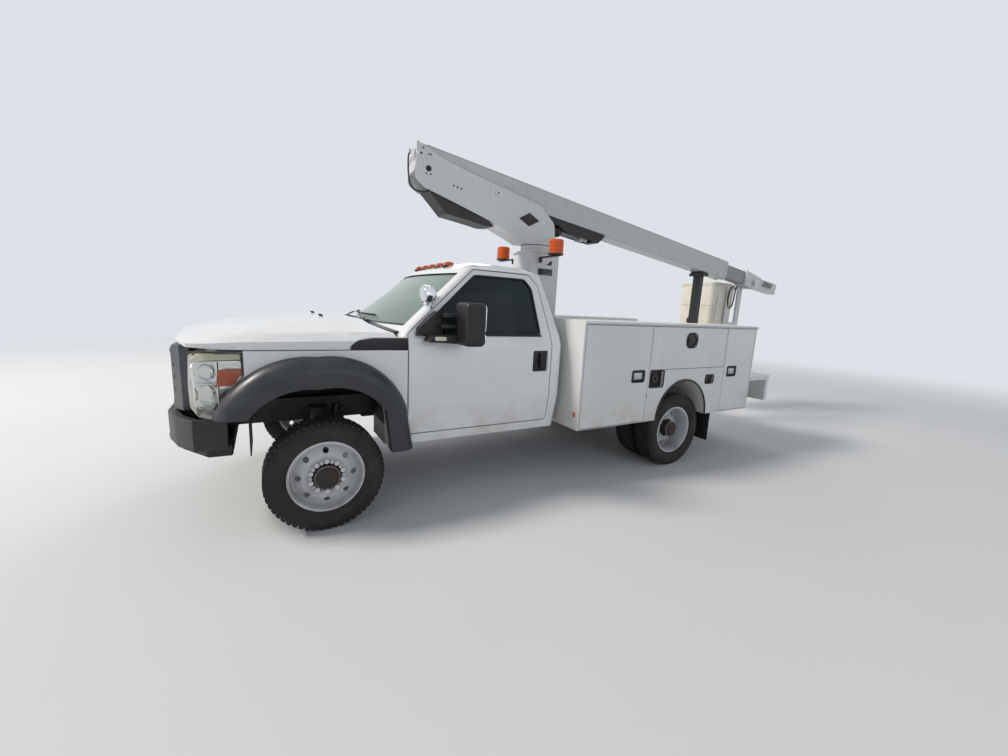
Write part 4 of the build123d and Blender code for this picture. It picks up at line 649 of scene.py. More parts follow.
LAMP_INSIDE = ((486, 1246), (716, 1246), (748, 1226), (760, 1048), (756, 910), (716, 862), (662, 852),
               (612, 960), (486, 1112))
LAMP_AMBER_SIDE = ((484, 1150), (612, 1150), (624, 1044), (540, 1044), (484, 1118))
LAMP_TOP_SIDE = ((486, 1250), (720, 1250), (744, 1228), (742, 1206), (486, 1212))
# Columns: X, Y, Z of the seal over the lamp
LAMP_EDGE = ((468, 952, 1258), (640, 950, 1264), (722, 916, 1264), (768, 866, 1250))
LAMP_BACK = 846
# Columns: X, Y, Z, radius, how far the bowl turns outwards
LAMP_BOWLS = ((676, 862, 1126, 50, 1.3), (668, 868, 985, 70, 1.3), (748, 790, 1120, 58, 0.1),
              (742, 790, 980, 68, 0.1))


def headlamps():
    for side, sign in SIDES:
        bm = bmesh.new()
        add_prism(bm, LAMP_INSIDE, sign * 760, sign * LAMP_BACK, bevel=10)
        for x, y, z, radius, out in LAMP_BOWLS:
            bowl = [(2, radius), (10, radius + 5), (18, radius), (-10, radius * 0.8), (-24, radius * 0.36),
                    (-26, 0)]
            add_lathe(bm, bowl, faced((x, sign * y, z), (1, sign * out, 0)), 32)
        fins = grown(ROW, LAMP_CHROME, count=7, step=(17, 0, 0), block=(19, 60, 176), turn=(0, 0, 0.1 * sign))
        add_mesh(bm, fins, (500, sign * 880, 1110))
        for z in (1056, 1198):
            add_box(bm, (498, sign * LAMP_BACK, z - 4), (738, sign * 908, z + 4), 2)
        add_box(bm, (614, sign * LAMP_BACK, 900), (622, sign * 928, 1200), 2)
        finished(f"lamp_reflector_{side}", bm, LAMP_CHROME)
        bm = bmesh.new()
        add_prism(bm, LAMP_AMBER_SIDE, sign * 915, sign * 944, bevel=8)
        finished(f"lamp_turn_section_{side}", bm, LAMP_AMBER)
        bm = bmesh.new()
        add_prism(bm, LAMP_TOP_SIDE, sign * 780, sign * 938, bevel=8)
        finished(f"lamp_yellowed_top_{side}", bm, LAMP_CREAM)
        bm = bmesh.new()
        edge = [(x, sign * y, z) for x, y, z in LAMP_EDGE]
        add_tube(bm, smooth_path(edge), 5, 8)
        finished(f"lamp_seal_{side}", bm, SEAL_RUBBER)


# Grille: a mesh behind the bars

def grille():
    bm = bmesh.new()
    upright = grown(ROW, BLACK_PLASTIC, count=52, step=(0, 24, 0), block=(8, 3, 320), turn=(0, 0, 0))
    level = grown(ROW, BLACK_PLASTIC, count=14, step=(0, 0, 24), block=(6, 1240, 3), turn=(0, 0, 0))
    add_mesh(bm, upright, (800, -612, 1065))
    add_mesh(bm, level, (802, 0, 909))
    finished("grille_mesh", bm, BLACK_PLASTIC, "hood")
    bm = bmesh.new()
    add_prism(bm, rounded(-150, 150, 1030, 1100, 34, 6), 872, 886, "X", bevel=4)
    finished("grille_centre_pad", bm, GRILLE_PLASTIC, "hood", NODE_SLOT["grille"])


# Columns: X, Z
TOW_HOOK = ((890, 640), (940, 636), (952, 606), (930, 588), (898, 592))


def bumper():
    """Lower valance, cooling slots and tow hooks at the black bumper."""
    bm = bmesh.new()
    add_prism(bm, [(560, -890), (700, -880), (862, -640), (890, -560), (890, 560), (862, 640), (700, 880),
                   (560, 890)], 560, 634, "Z", bevel=12)
    finished("bumper_valance", bm, BLACK_PLASTIC)
    bm = bmesh.new()
    slats = grown(ROW, SEAL_RUBBER, count=4, step=(0, 0, 28), block=(8, 640, 9), turn=(0, 0.35, 0))
    add_mesh(bm, slats, (931, 0, 692))
    finished("bumper_slots", bm, SEAL_RUBBER)
    bm = bmesh.new()
    for sign in (1, -1):
        hook = [(x, sign * 420, z) for x, z in TOW_HOOK]
        add_tube(bm, smooth_path(hook, 6), 13, 10)
    finished("tow_hooks", bm, WORN_STEEL)


# Hood and cowl

VENT = ((-176, 1266), (-183, 1304), (-238, 1342), (-330, 1358), (-616, 1360), (-616, 1266))
# Columns: X, Y, Z
VENT_LIP = ((-172, 978, 1268), (-181, 977, 1306), (-238, 975, 1345), (-330, 972, 1361),
            (-470, 974, 1363), (-612, 978, 1363))


def vents():
    """Black vent behind the hood's side: slanted ribs on a plate under a bright lip."""
    for side, sign in SIDES:
        bm = bmesh.new()
        add_prism(bm, VENT, sign * 963, sign * 975, bevel=3)
        ribs = grown(ROW, BLACK_PLASTIC, count=12, step=(-32, 0, 0), block=(10, 6, 66), turn=(0, 0.5, 0))
        add_mesh(bm, ribs, (-236, sign * 977, 1306))
        finished(f"vent_{side}", bm, BLACK_PLASTIC)
        bm = bmesh.new()
        lip = [(x, sign * y, z) for x, y, z in VENT_LIP]
        add_tube(bm, smooth_path(lip, 6), 3.5, 8)
        finished(f"vent_lip_{side}", bm, ALUMINIUM)


def screen_x(y, z):
    """X of the windscreen's outside at a width and height."""
    rise = (z - 1440) / 495
    half = 916 - 161 * rise
    return -590 - 530 * rise + (225 - 120 * rise) * (1 - (y / half) ** 2) + 2


def wipers():
    bm = bmesh.new()
    rubber = bmesh.new()
    for pivot_y, tip_y in ((330, -260), (-250, -780)):
        pivot = Vector((screen_x(pivot_y, 1448) + 34, pivot_y, 1466))
        add_lathe(bm, [(-30, 16), (4, 16), (12, 10), (14, 0)], faced(pivot, (0.5, 0, 1)), 20)
        middle_y = (pivot_y + tip_y) / 2 + 90
        elbow = Vector((screen_x(middle_y, 1492) + 26, middle_y, 1506))
        add_tube(bm, [pivot + Vector((0, 0, 8)), pivot.lerp(elbow, 0.4) + Vector((0, 0, 8)), elbow], 8, 8,
                 flat=0.6)
        blade = [(screen_x(y, 1502) + 14, y, 1510) for y in [middle_y + 290 - 58 * i for i in range(11)]]
        add_tube(bm, blade, 7, 6)
        add_tube(rubber, [(x - 7, y, z - 7) for x, y, z in blade], 4, 6)
    finished("wiper_arms", bm, BLACK_PLASTIC)
    finished("wiper_rubbers", rubber, SEAL_RUBBER)
    bm = bmesh.new()
    for sign in (1, -1):
        slats = grown(ROW, SEAL_RUBBER, count=16, step=(0, sign * 26, 0), block=(70, 12, 5),
                      turn=(0, 0, 0.12 * sign))
        add_mesh(bm, slats, (-395, sign * 120, 1463))
    finished("cowl_slots", bm, SEAL_RUBBER)
    bm = bmesh.new()
    for sign in (1, -1):
        place = Matrix.Translation((-60, sign * 330, 1484))
        add_lathe(bm, [(-6, 15), (5, 15), (9, 10), (10, 0)], place, 16)
        add_box(bm, (-66, sign * 330 - 9, 1486), (-40, sign * 330 + 9, 1497), 3)
    finished("washer_nozzles", bm, BLACK_PLASTIC, "hood")


# Doors, windows and mirrors

WINDOW = ((-690, 1389), (-725, 1455), (-1195, 1878), (-1690, 1878), (-1760, 1800), (-1815, 1389))
# Columns: Y, Z
DOOR_GRIP = ((990, 1096), (1010, 1118), (1014, 1162), (1010, 1206), (990, 1230))


def wall_y(z):
    """The door's outer skin at a height over the belt."""
    return 972 - (z - 1385) * 0.2855


def corner_rounded(points, radius, steps=4):
    """An outline in X and Z with its corners rounded."""
    out = []
    for i, corner in enumerate(points):
        b = Vector(corner)
        a = b + (Vector(points[i - 1]) - b).normalized() * radius
        c = b + (Vector(points[(i + 1) % len(points)]) - b).normalized() * radius
        for k in range(steps + 1):
            t = k / steps
            out.append(a * (1 - t) ** 2 + b * 2 * t * (1 - t) + c * t ** 2)
    return out


def doors(side, sign):
    body = NODE_BODY[f"door_{side}"]
    bm = bmesh.new()
    line = corner_rounded(WINDOW, 34)
    add_tube(bm, [(x, sign * (wall_y(z) - 5), z) for x, z in line], 9, 8, loop=True, flat=0.8)
    belt = [(x, sign * (wall_y(1386) + 3), 1387) for x in (-650, -1000, -1400, -1820)]
    add_tube(bm, belt, 8, 8)
    divide = [(x, sign * (wall_y(z) - 14), z) for x, z in ((-905, 1392), (-905, 1610))]
    add_tube(bm, divide, 9, 8)
    finished(f"window_seal_{side}", bm, SEAL_RUBBER, body)
    bm = bmesh.new()
    add_prism(bm, rounded(-1884, -1729, 1070, 1253, 15), sign * (DOOR_SIDE - 3.5), sign * DOOR_SIDE,
              bevel=1.5)
    add_prism(bm, rounded(-1868, -1745, 1094, 1140, 18), sign * DOOR_SIDE, sign * (DOOR_SIDE + 8), bevel=3)
    grip = [(-1807, sign * y, z) for y, z in DOOR_GRIP]
    add_tube(bm, smooth_path(grip, 6), 16, 12, flat=0.7)
    finished(f"door_handle_{side}", bm, BLACK_PLASTIC, body)
    bm = bmesh.new()
    add_lathe(bm, [(0, 15), (6, 15), (8, 12), (8, 0)], outward(-1772, sign * 988, 1116), 20)
    finished(f"door_lock_{side}", bm, BRIGHT_CHROME, body)
    bm = bmesh.new()
    add_prism(bm, corner_rounded(((-650, 700), (-650, 1360), (-1860, 1360), (-1860, 700)), 60), sign * 893,
              sign * 906, bevel=5)
    add_prism(bm, corner_rounded(((-900, 1050), (-880, 1120), (-1560, 1120), (-1580, 1050)), 24), sign * 846,
              sign * 896, bevel=12)
    finished(f"door_lining_{side}", bm, CABIN_PLASTIC, body)
    bm = bmesh.new()
    for low, high, radius in ((1432, 1634, 26), (1342, 1418, 20)):
        pane = [(y * sign, z) for y, z in rounded(1094, 1292, low, high, radius)]
        add_prism(bm, pane, -1091, -1084, "X", bevel=2)
    finished(f"mirror_glass_{side}", bm, BRIGHT_CHROME, body)
    bm = bmesh.new()
    for root, tip in ((1470, 1462), (1545, 1542)):
        arm = [(-860, sign * 1010, root), (-900, sign * 1060, tip), (-960, sign * 1085, tip)]
        add_tube(bm, smooth_path(arm, 5), 17, 12)
    add_prism(bm, corner_rounded(((-700, 1352), (-722, 1388), (-842, 1392), (-842, 1352)), 14), sign * 1128,
              sign * 1136, bevel=3)
    finished(f"mirror_arm_covers_{side}", bm, BLACK_PLASTIC, body)
    bm = bmesh.new()
    add_prism(bm, rounded(-840, -748, 1356, 1386, 10), sign * 1128, sign * 1139, bevel=3)
    finished(f"mirror_lamp_{side}", bm, LAMP_CREAM, body)


def spotlight():
    bm = bmesh.new()
    add_lathe(bm, [(0, 0), (0, 62), (5, 68), (9, 62), (12, 30), (13, 0)],
              faced((-731, 893, 1692), (1, 0, 0)), 32)
    finished("spotlight_lens", bm, LAMP_CHROME)
    bm = bmesh.new()
    add_lathe(bm, [(-26, 24), (-18, 30), (0, 30), (6, 20), (6, 0)], faced((-790, 893, 1612), (0, 0.2, 1)), 24)
    add_tube(bm, smooth_path([(-790, 893, 1612), (-800, 880, 1590), (-820, 850, 1560)], 5), 12, 10)
    finished("spotlight_foot", bm, BRIGHT_CHROME)


# Amber lamps: domes on the roof, and two ribbed beacons on black arms

BEACONS = ((-2290, 465), (-2195, -465))
BEACON_Z = 2180.0


def amber_lamps():
    bm = bmesh.new()
    base = bmesh.new()
    for y in (-400, -200, 0, 200, 400):
        profile = corner_rounded(((-1182, 1962), (-1178, 1994), (-1150, 2008), (-1104, 2004),
                                  (-1088, 1962)), 10)
        add_prism(bm, profile, y - 31, y + 31, bevel=9)
        add_box(base, (-1186, y - 34, 1955), (-1084, y + 34, 1975), 4)
    for x, y in BEACONS:
        dome = [(14, 0), (14, 74), (16, 76), (44, 76), (47, 73.5), (50, 76), (78, 76), (81, 73.5), (84, 76),
                (112, 76), (115, 73.5), (118, 76), (146, 74), (154, 66), (156, 50), (156, 0)]
        place = Matrix.Translation((x, y, BEACON_Z))
        add_lathe(bm, dome, place, 40)
        add_lathe(base, [(-2, 0), (-2, 70), (2, 80), (12, 80), (15, 77), (15, 0)], place, 40)
        near = math.copysign(205, y)
        add_box(base, (x - 25, near, BEACON_Z - 12), (x + 25, y + math.copysign(60, y), BEACON_Z - 1), 2)
        add_box(base, (-2300, near, BEACON_Z - 60), (x + 25, near + math.copysign(12, y), BEACON_Z - 1), 2)
    finished("amber_domes", bm, LAMP_AMBER, replaces=("amber_lamps",))
    finished("amber_lamp_bases", base, BLACK_PLASTIC)


# Service body

# Columns: front, rear, low, high, the tray's corner radius
DOOR_LATCHES = {"front": (-2780, -2955, 952, 1071, 22), "side": (-3547, -3732, 1292, 1453, 70),
                "rear": (-4350, -4525, 952, 1071, 22)}
# Columns: front, rear, low, high, depth
POCKETS = ((-3040, -3252, 884, 1062, 40), (-3957, -4109, 884, 984, 25))
# Columns: Y, Z
DRIP_RAIL = ((1200, 1520), (1222, 1516), (1225, 1530), (1220, 1541), (1200, 1544))


def lockers(side, sign):
    """Paddle latches in black trays, and long hinges at the edges of the front and rear lockers."""
    for name, (x0, x1, z0, z1, radius) in DOOR_LATCHES.items():
        body = NODE_BODY[f"locker_{name}_{side}"]
        bm = bmesh.new()
        tray = corner_rounded(((x0, z0), (x0, z1), (x1, z1), (x1, z0)), radius)
        add_prism(bm, tray, sign * 1194, sign * 1197, bevel=1)
        add_tube(bm, [(x, sign * 1206, z) for x, z in tray], 5, 8, loop=True)
        finished(f"latch_tray_{name}_{side}", bm, BLACK_PLASTIC, body)
        bm = bmesh.new()
        middle, level = (x0 + x1) / 2, (z0 + z1) / 2
        add_prism(bm, rounded(middle - 58, middle + 58, level - 30, level + 36, 10), sign * 1197,
                  sign * 1204, bevel=3)
        add_lathe(bm, [(0, 13), (5, 13), (6, 11), (6, 0)], outward(middle + 34, sign * 1203, level), 20)
        paddle = BLACK_PLASTIC if name == "side" else ALUMINIUM
        finished(f"latch_paddle_{name}_{side}", bm, paddle, body)
    for name, x in (("front", -2142), ("rear", -4843)):
        bm = bmesh.new()
        knuckles = grown(ROW, ALUMINIUM, count=20, step=(0, 0, 46), block=(12, 12, 42), turn=(0, 0, 0.78))
        add_mesh(bm, knuckles, (x, sign * 1199, 583))
        finished(f"long_hinge_{name}_{side}", bm, ALUMINIUM)


def service_body():
    for side, sign in SIDES:
        bm = bmesh.new()
        add_prism(bm, [(sign * y, z) for y, z in DRIP_RAIL], BODY_REAR + 4, BODY_FRONT - 4, "X", bevel=2)
        finished(f"drip_rail_{side}", bm, ALUMINIUM)
        bm = bmesh.new()
        arch = [(-3605 + 414 * math.cos(t), sign * 1209, 530 + 414 * math.sin(t))
                for t in [math.pi * i / 40 for i in range(41)]]
        add_tube(bm, arch, 9, 10)
        for x0, x1, z0, z1, depth in POCKETS:
            line = corner_rounded(((x0, z0), (x0, z1), (x1, z1), (x1, z0)), 22)
            add_tube(bm, [(x, sign * BODY_SIDE, z) for x, z in line], 6, 8, loop=True)
            add_prism(bm, line, sign * (1206 - depth), sign * (1210 - depth), bevel=1)
        finished(f"body_trims_{side}", bm, BLACK_PLASTIC)
        bm = bmesh.new()
        cap = outward(-3146, sign * 1168, 972)
        add_lathe(bm, [(0, 0), (0, 52), (14, 52), (18, 46), (18, 12), (32, 10), (32, 0)], cap, 32)
        grips = grown(BLOCK_RING, BLACK_PLASTIC, count=16, circle=52.0, block=(5, 9, 14), slant=0.0)
        add_mesh(bm, grips, cap @ Matrix.Translation((0, 0, 8)))
        add_box(bm, (-3012, sign * BODY_SIDE - 6, 794), (-3028, sign * BODY_SIDE + 4, 806), 4)
        finished(f"filler_cap_{side}", bm, BLACK_PLASTIC)
        bm = bmesh.new()
        add_box(bm, (BODY_FRONT, sign * 1152 - 13, 648), (BODY_FRONT + 12, sign * 1152 + 13, 692), 5)
        finished(f"body_markers_{side}", bm, LAMP_AMBER)
        bm = bmesh.new()
        lozenges = grown(LOZENGES, BODY_ENAMEL, length=2640.0, width=430.0, along=67, across=12,
                         lozenge=(13.0, 4.0, 2.2))
        add_box(bm, (BODY_REAR + 12, sign * 702, BODY_TOP), (BODY_FRONT - 12, sign * 1192, BODY_TOP + 3), 1)
        add_mesh(bm, lozenges, ((BODY_FRONT + BODY_REAR) / 2, sign * 947, BODY_TOP + 4))
        finished(f"tread_plate_{side}", bm, BODY_ENAMEL)
        bm = bmesh.new()
        rivets = grown(ROW, PIN_STEEL, count=26, step=(-104, 0, 0), block=(9, 4, 9), turn=(0, 0.78, 0))
        add_mesh(bm, rivets, (BODY_FRONT - 60, sign * 1222, 1530))
        finished(f"drip_rail_rivets_{side}", bm, PIN_STEEL)
    bm = bmesh.new()
    plate = grown(LOZENGES, BODY_ENAMEL, length=2500.0, width=1300.0, along=60, across=32,
                  lozenge=(14.0, 4.5, 2.4))
    keep = bmesh.new()
    add_mesh(keep, plate, (-3560, 0, BED_Z + 1))
    middles = [(f, f.calc_center_median()) for f in keep.faces]
    inside = [f for f, middle in middles if abs(middle.x - PEDESTAL_X) < 330 and abs(middle.y) < 240]
    bmesh.ops.delete(keep, geom=inside, context="FACES")
    finished("bed_tread", keep, BODY_ENAMEL)
    shelf = grown(LOZENGES, BODY_ENAMEL, length=440.0, width=2260.0, along=11, across=54,
                  lozenge=(14.0, 4.5, 2.4))
    add_mesh(bm, shelf, (-5110, 0, BED_Z - 39))
    bars = grown(ROW, BODY_ENAMEL, count=7, step=(-370, 0, 0), block=(40, 6, 220), turn=(0, 0, 0))
    for sign in (1, -1):
        add_mesh(bm, bars, (-2420, sign * 691, 1300))
    finished("body_ribs", bm, BODY_ENAMEL)


# Columns: distance behind the body, Z
GRAB_HANDLE = ((0, 1330), (50, 1330), (55, 1300), (55, 1120), (50, 1090), (0, 1090))


def rear_end():
    """Lamp rims, mud flaps, hitch loops and pin, reflectors and grab handles at the back."""
    bm = bmesh.new()
    rubber = bmesh.new()
    for sign in (1, -1):
        for y in (940, 1080):
            place = faced((SHELF_REAR - 22, sign * y, 780), (-1, 0, 0))
            add_lathe(bm, [(-18, 54), (4, 56), (6, 52), (-2, 48), (-18, 54)], place, 32)
        add_box(rubber, (-4180, sign * 660, 180), (-4172, sign * 1180, 560), 2)
        add_box(bm, (-4186, sign * 650, 540), (-4168, sign * 1190, 566), 2)
    finished("lamp_rims", bm, BRIGHT_CHROME)
    finished("mud_flaps", rubber, SEAL_RUBBER)
    bm = bmesh.new()
    for sign in (1, -1):
        loop = [(SHELF_REAR - 6, sign * 70, 620), (SHELF_REAR - 26, sign * 95, 612),
                (SHELF_REAR - 26, sign * 120, 630), (SHELF_REAR - 6, sign * 128, 650)]
        add_tube(bm, smooth_path(loop, 6), 9, 8)
    add_tube(bm, [(SHELF_REAR - 10, -58, 626), (SHELF_REAR - 10, 58, 626)], 8, 10)
    add_tube(bm, smooth_path([(SHELF_REAR - 10, 58, 626), (SHELF_REAR - 12, 70, 618),
                              (SHELF_REAR - 12, 66, 596), (SHELF_REAR - 12, 40, 590)], 5), 4, 8)
    finished("hitch_loops_and_pin", bm, WORN_STEEL)
    bm = bmesh.new()
    for sign in (1, -1):
        add_box(bm, (SHELF_REAR - 8, sign * 700 - 45, 745), (SHELF_REAR + 2, sign * 700 + 45, 815), 3)
        add_box(bm, (BODY_REAR - 8, sign * 1150 - 22, 1080), (BODY_REAR + 2, sign * 1150 + 22, 1180), 3)
    finished("rear_reflectors", bm, LAMP_RED)
    bm = bmesh.new()
    for sign in (1, -1):
        hold = [(BODY_REAR - back, sign * 1000, z) for back, z in GRAB_HANDLE]
        add_tube(bm, smooth_path(hold, 5), 13, 12)
    finished("grab_handles", bm, WORN_STEEL)


# Pedestal, turret and their fittings

def pedestal():
    bm = bmesh.new()
    ring = grown(BOLT_RING, PIN_STEEL, count=16, circle=160.0, sides=6, radius=11.0, height=10.0)
    add_mesh(bm, ring, (PEDESTAL_X, 0, 2256))
    foot = grown(ROW, PIN_STEEL, count=5, step=(0, 110, 0), block=(22, 22, 12), turn=(0, 0, 0.5))
    for x in (PEDESTAL_X - 240, PEDESTAL_X + 240):
        add_mesh(bm, foot, (x, -220, BED_Z + 16))
    finished("pedestal_bolts", bm, PIN_STEEL)
    bm = bmesh.new()
    for sign in (1, -1):
        for x in (PEDESTAL_X - 140, PEDESTAL_X + 140):
            turn = Matrix.Rotation(math.radians(90 * sign), 4, "Z")
            place = Matrix.Translation((x, sign * 186, BED_Z + 10)) @ turn
            add_prism(bm, [(0, 0), (90, 0), (0, 190)], -5, 5, bevel=1.5, place=place)
        rim = [(-2467, 1989), (-2268, 1989), (-2268, 2066), (-2467, 2066)]
        add_tube(bm, [(x, sign * 187, z) for x, z in corner_rounded(rim, 12)], 5, 8, loop=True)
    finished("pedestal_gussets", bm, LIFT_ENAMEL)


# Columns: X, Z of each pin's end on the cheek plates, and its radius
TURRET_PINS = ((-951, 2963, 36), (-1765, 2759, 32))
# Columns: X, Z, radius of the small holes and plugs
TURRET_HOLES = ((-1279, 2744, 9), (-1319, 2736, 9), (-1359, 2730, 9), (-1005, 2803, 8), (-1049, 2803, 8),
                (-1026, 2970, 8), (-1049, 2970, 8), (-975, 3016, 9))
# Columns: X, Z
DIAMONDS = ((-2158, 2629), (-2289, 2561), (-2158, 2490), (-2027, 2557))
COVER_EDGE = ((-1030, 2674), (-1219, 2487), (-1388, 2468), (-1662, 2431))


def turret():
    bm = bmesh.new()
    dark = bmesh.new()
    for sign in (1, -1):
        for x, z, radius in TURRET_PINS:
            place = outward(x, sign * CHEEK_Y, z)
            cap = [(0, 0), (0, radius), (8, radius), (11, radius - 3), (11, radius * 0.45),
                   (8, radius * 0.4), (8, 0)]
            add_lathe(bm, cap, place, 32)
            add_lathe(dark, [(8, 0), (8, radius * 0.32), (14, radius * 0.32), (14, 0)], place, 6)
        for x, z, radius in TURRET_HOLES:
            plug = [(0, 0), (0, radius), (2, radius), (2, 0)]
            add_lathe(dark, plug, outward(x, sign * (CHEEK_Y + 0.5), z), 16)
        boss = outward(-1027, sign * CHEEK_Y, 2848)
        add_lathe(dark, [(0, 0), (0, 27), (7, 25), (7, 13), (16, 12), (18, 9), (18, 0)], boss, 24)
    finished("turret_pin_caps", bm, PAD_NYLON, "turret")
    add_prism(dark, DIAMONDS, CHEEK_Y, CHEEK_Y + 3.5, bevel=1)
    finished("turret_dark_fittings", dark, BLACK_PLASTIC, "turret")
    bm = bmesh.new()
    for x in (-1010, -1045):
        add_lathe(bm, [(0, 0), (0, 16), (14, 16), (14, 0)], outward(x, 112, 2690), 16)
    finished("turret_hose_ends", bm, PIN_STEEL, "turret")
    # A lip along the lower edges of the turret's cover, coloured mid grey as painted shade of that edge in
    # shadow under the turret
    bm = bmesh.new()
    for sign in (1, -1):
        seam = [(x, sign * COVER_SIDE, z) for x, z in COVER_EDGE]
        add_tube(bm, seam, 5, 8)
    finished("turret_cover_lip_painted_shade", bm, GRILLE_PLASTIC, "turret", "black_plastic")
    bm = bmesh.new()
    ring = grown(BOLT_RING, PIN_STEEL, count=20, circle=152.0, sides=6, radius=9.0, height=8.0)
    add_mesh(bm, ring, (PEDESTAL_X, 0, 2322))
    finished("turret_ring_bolts", bm, PIN_STEEL, "turret")


# Boom

def along_boom(bm):
    """Turns a shape drawn with X back along the stowed boom, Y across and Z over it into place."""
    turn = Matrix.Translation((PIVOT[0], 0, PIVOT[1])) @ Matrix.Rotation(-BOOM_SLOPE, 4, "Y") \
        @ Matrix.Diagonal((-1, 1, 1, 1))
    bmesh.ops.transform(bm, matrix=turn, verts=bm.verts[:])
    bmesh.ops.reverse_faces(bm, faces=bm.faces[:])


BOOM_FOOT = BOOM_TOP - BOOM_H


def booms():
    """Wear pads, seams, bolts, a plate and a dark strip on the outer boom."""
    bm = bmesh.new()
    for low in (BOOM_TOP - 32, BOOM_FOOT - 12):
        for sign in (1, -1):
            add_box(bm, (4880, sign * 20, low), (4912, sign * 82, low + 30), 3)
    for sign in (1, -1):
        for up in (-96, 34):
            add_box(bm, (4880, sign * 80, up), (4912, sign * 96, up + 62), 3)
    along_boom(bm)
    finished("boom_wear_pads", bm, PAD_NYLON, "outer_boom")
    bm = bmesh.new()
    for sign in (1, -1):
        for up in (BOOM_TOP - 4, BOOM_FOOT + 4):
            add_tube(bm, [(60, sign * BOOM_SIDE, up), (4870, sign * BOOM_SIDE, up)], 4, 6)
        bolts = grown(ROW, PIN_STEEL, count=6, step=(0, 0, 34), block=(14, 7, 14), turn=(0, 0.78, 0))
        add_mesh(bm, bolts, (4850, sign * 102, BOOM_FOOT + 40))
    plate = corner_rounded(((3060, -88), (3060, -8), (3420, -8), (3420, -88)), 10)
    for sign in (1, -1):
        add_prism(bm, plate, sign * BOOM_SIDE, sign * (BOOM_SIDE + 3), bevel=1)
    along_boom(bm)
    finished("boom_seams", bm, BOOM_SHADED_ENAMEL, "outer_boom")
    bm = bmesh.new()
    for sign in (1, -1):
        strip = corner_rounded(((1500, -150), (1500, -132), (2350, -132), (2350, -150)), 6)
        add_prism(bm, strip, sign * BOOM_SIDE, sign * (BOOM_SIDE + 4), bevel=1.5)
    along_boom(bm)
    finished("boom_fittings", bm, BLACK_PLASTIC, "outer_boom")


def boom_tip():
    """Louvres and a bolted pin end on the boom's tip."""
    bm = bmesh.new()
    for sign in (1, -1):
        slats = grown(ROW, BLACK_PLASTIC, count=8, step=(34, 0, 0), block=(10, 5, 92), turn=(0, 0.3, 0))
        add_mesh(bm, slats, (5965, sign * COVER_SIDE, -20))
    along_boom(bm)
    finished("boom_tip_louvres", bm, BLACK_PLASTIC, "inner_boom")
    bm = bmesh.new()
    for sign in (1, -1):
        place = outward(5705, sign * 112, -60)
        add_lathe(bm, [(0, 0), (0, 44), (10, 44), (13, 40), (13, 18), (9, 16), (9, 0)], place, 32)
        bolts = grown(BOLT_RING, PIN_STEEL, count=6, circle=31.0, sides=6, radius=5.0, height=5.0)
        add_mesh(bm, bolts, place @ Matrix.Translation((0, 0, 14)))
    along_boom(bm)
    finished("boom_tip_pin_end", bm, PIN_STEEL, "inner_boom")


def cylinder():
    """Gland, hose unions and a pipe on the lift cylinder."""
    foot, head = Vector((-1265, 0, 2640)), Vector((-2988.08, 0, 2486.19))
    ahead = (head - foot).normalized()
    bm = bmesh.new()
    gland = foot + ahead * 1400
    add_lathe(bm, [(-60, 56), (-60, 61), (-6, 61), (0, 55), (0, 36), (-60, 36), (-60, 56)],
              faced(gland, ahead), 40)
    for along in (110, 1330):
        spot = foot + ahead * along
        add_lathe(bm, [(40, 0), (40, 18), (66, 18), (70, 14), (70, 0)], faced(spot, Vector((0, 0.4, -1))), 6)
    pipe = [foot + ahead * a + Vector((0, 30, -z)) for a, z in ((110, 66), (180, 74), (700, 74), (1290, 74),
                                                                (1330, 66))]
    add_tube(bm, smooth_path(pipe, 5), 8, 10)
    finished("lift_cylinder_fittings", bm, CAST_IRON, "lift_barrel")


# Bucket

BUCKET = (-6208.42, -455.0, 2160.0)
BUCKET_HALF = 305.0


def bucket():
    """Rolled rim, bands, ribs and a step on the bucket, and the strap over its lid."""
    x, y, top = BUCKET
    bm = bmesh.new()
    half = BUCKET_HALF
    rim = [(x - half, y - half), (x + half, y - half), (x + half, y + half), (x - half, y + half)]
    add_tube(bm, [(a, b, top - 14) for a, b in corner_rounded(rim, 90, 6)], 13, 10, loop=True)
    for level in (top - 340, top - 700):
        line = [(x + (a - x) * 0.995, y + (b - y) * 0.995, level) for a, b in corner_rounded(rim, 80, 6)]
        add_tube(bm, line, 6, 8, loop=True, flat=0.7)
    finished("bucket_rim_and_bands", bm, WHITE_GLASSFIBRE, "platform")
    bm = bmesh.new()
    for dx in (-150, 150):
        add_box(bm, (x + dx - 9, y + half - 10, top - 880), (x + dx + 9, y + half + 6, top - 120), 4)
    finished("bucket_ribs", bm, WHITE_GLASSFIBRE, "platform")
    bm = bmesh.new()
    inner, outer, low, high = x + half - 6, x + half + 10, top - 640, top - 560
    step = corner_rounded(((inner, low), (inner, high), (outer, high), (outer, low)), 4)
    add_prism(bm, step, y - 100, y + 100, bevel=2)
    finished("bucket_step", bm, BLACK_PLASTIC, "platform")
    bm = bmesh.new()
    strap = [(x, y - half - 16, top - 160), (x, y - half - 10, top - 8), (x, y - half + 60, top + 38)]
    add_tube(bm, smooth_path(strap, 6), 12, 8, flat=2.0)
    finished("bucket_lid_strap", bm, SEAL_RUBBER, "platform")


def hose(name, body, route, diameter):
    """A rubber hose that leaves the lift and goes back into it: its route, and its sizes in millimetres."""
    curve = bpy.data.curves.new(name, "CURVE")
    curve.dimensions = "3D"
    curve.bevel_depth = diameter / 2000
    curve.bevel_resolution = 3
    spline = curve.splines.new("NURBS")
    spline.points.add(len(route) - 1)
    for point, place in zip(spline.points, route):
        point.co = (*(TO_ROW @ Vector(place)), 1.0)
    spline.order_u = 3
    spline.use_endpoint_u = True
    curve.materials.append(HOSE_RUBBER)
    obj = bpy.data.objects.new(name, curve)
    bpy.context.scene.collection.objects.link(obj)
    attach(obj, body)


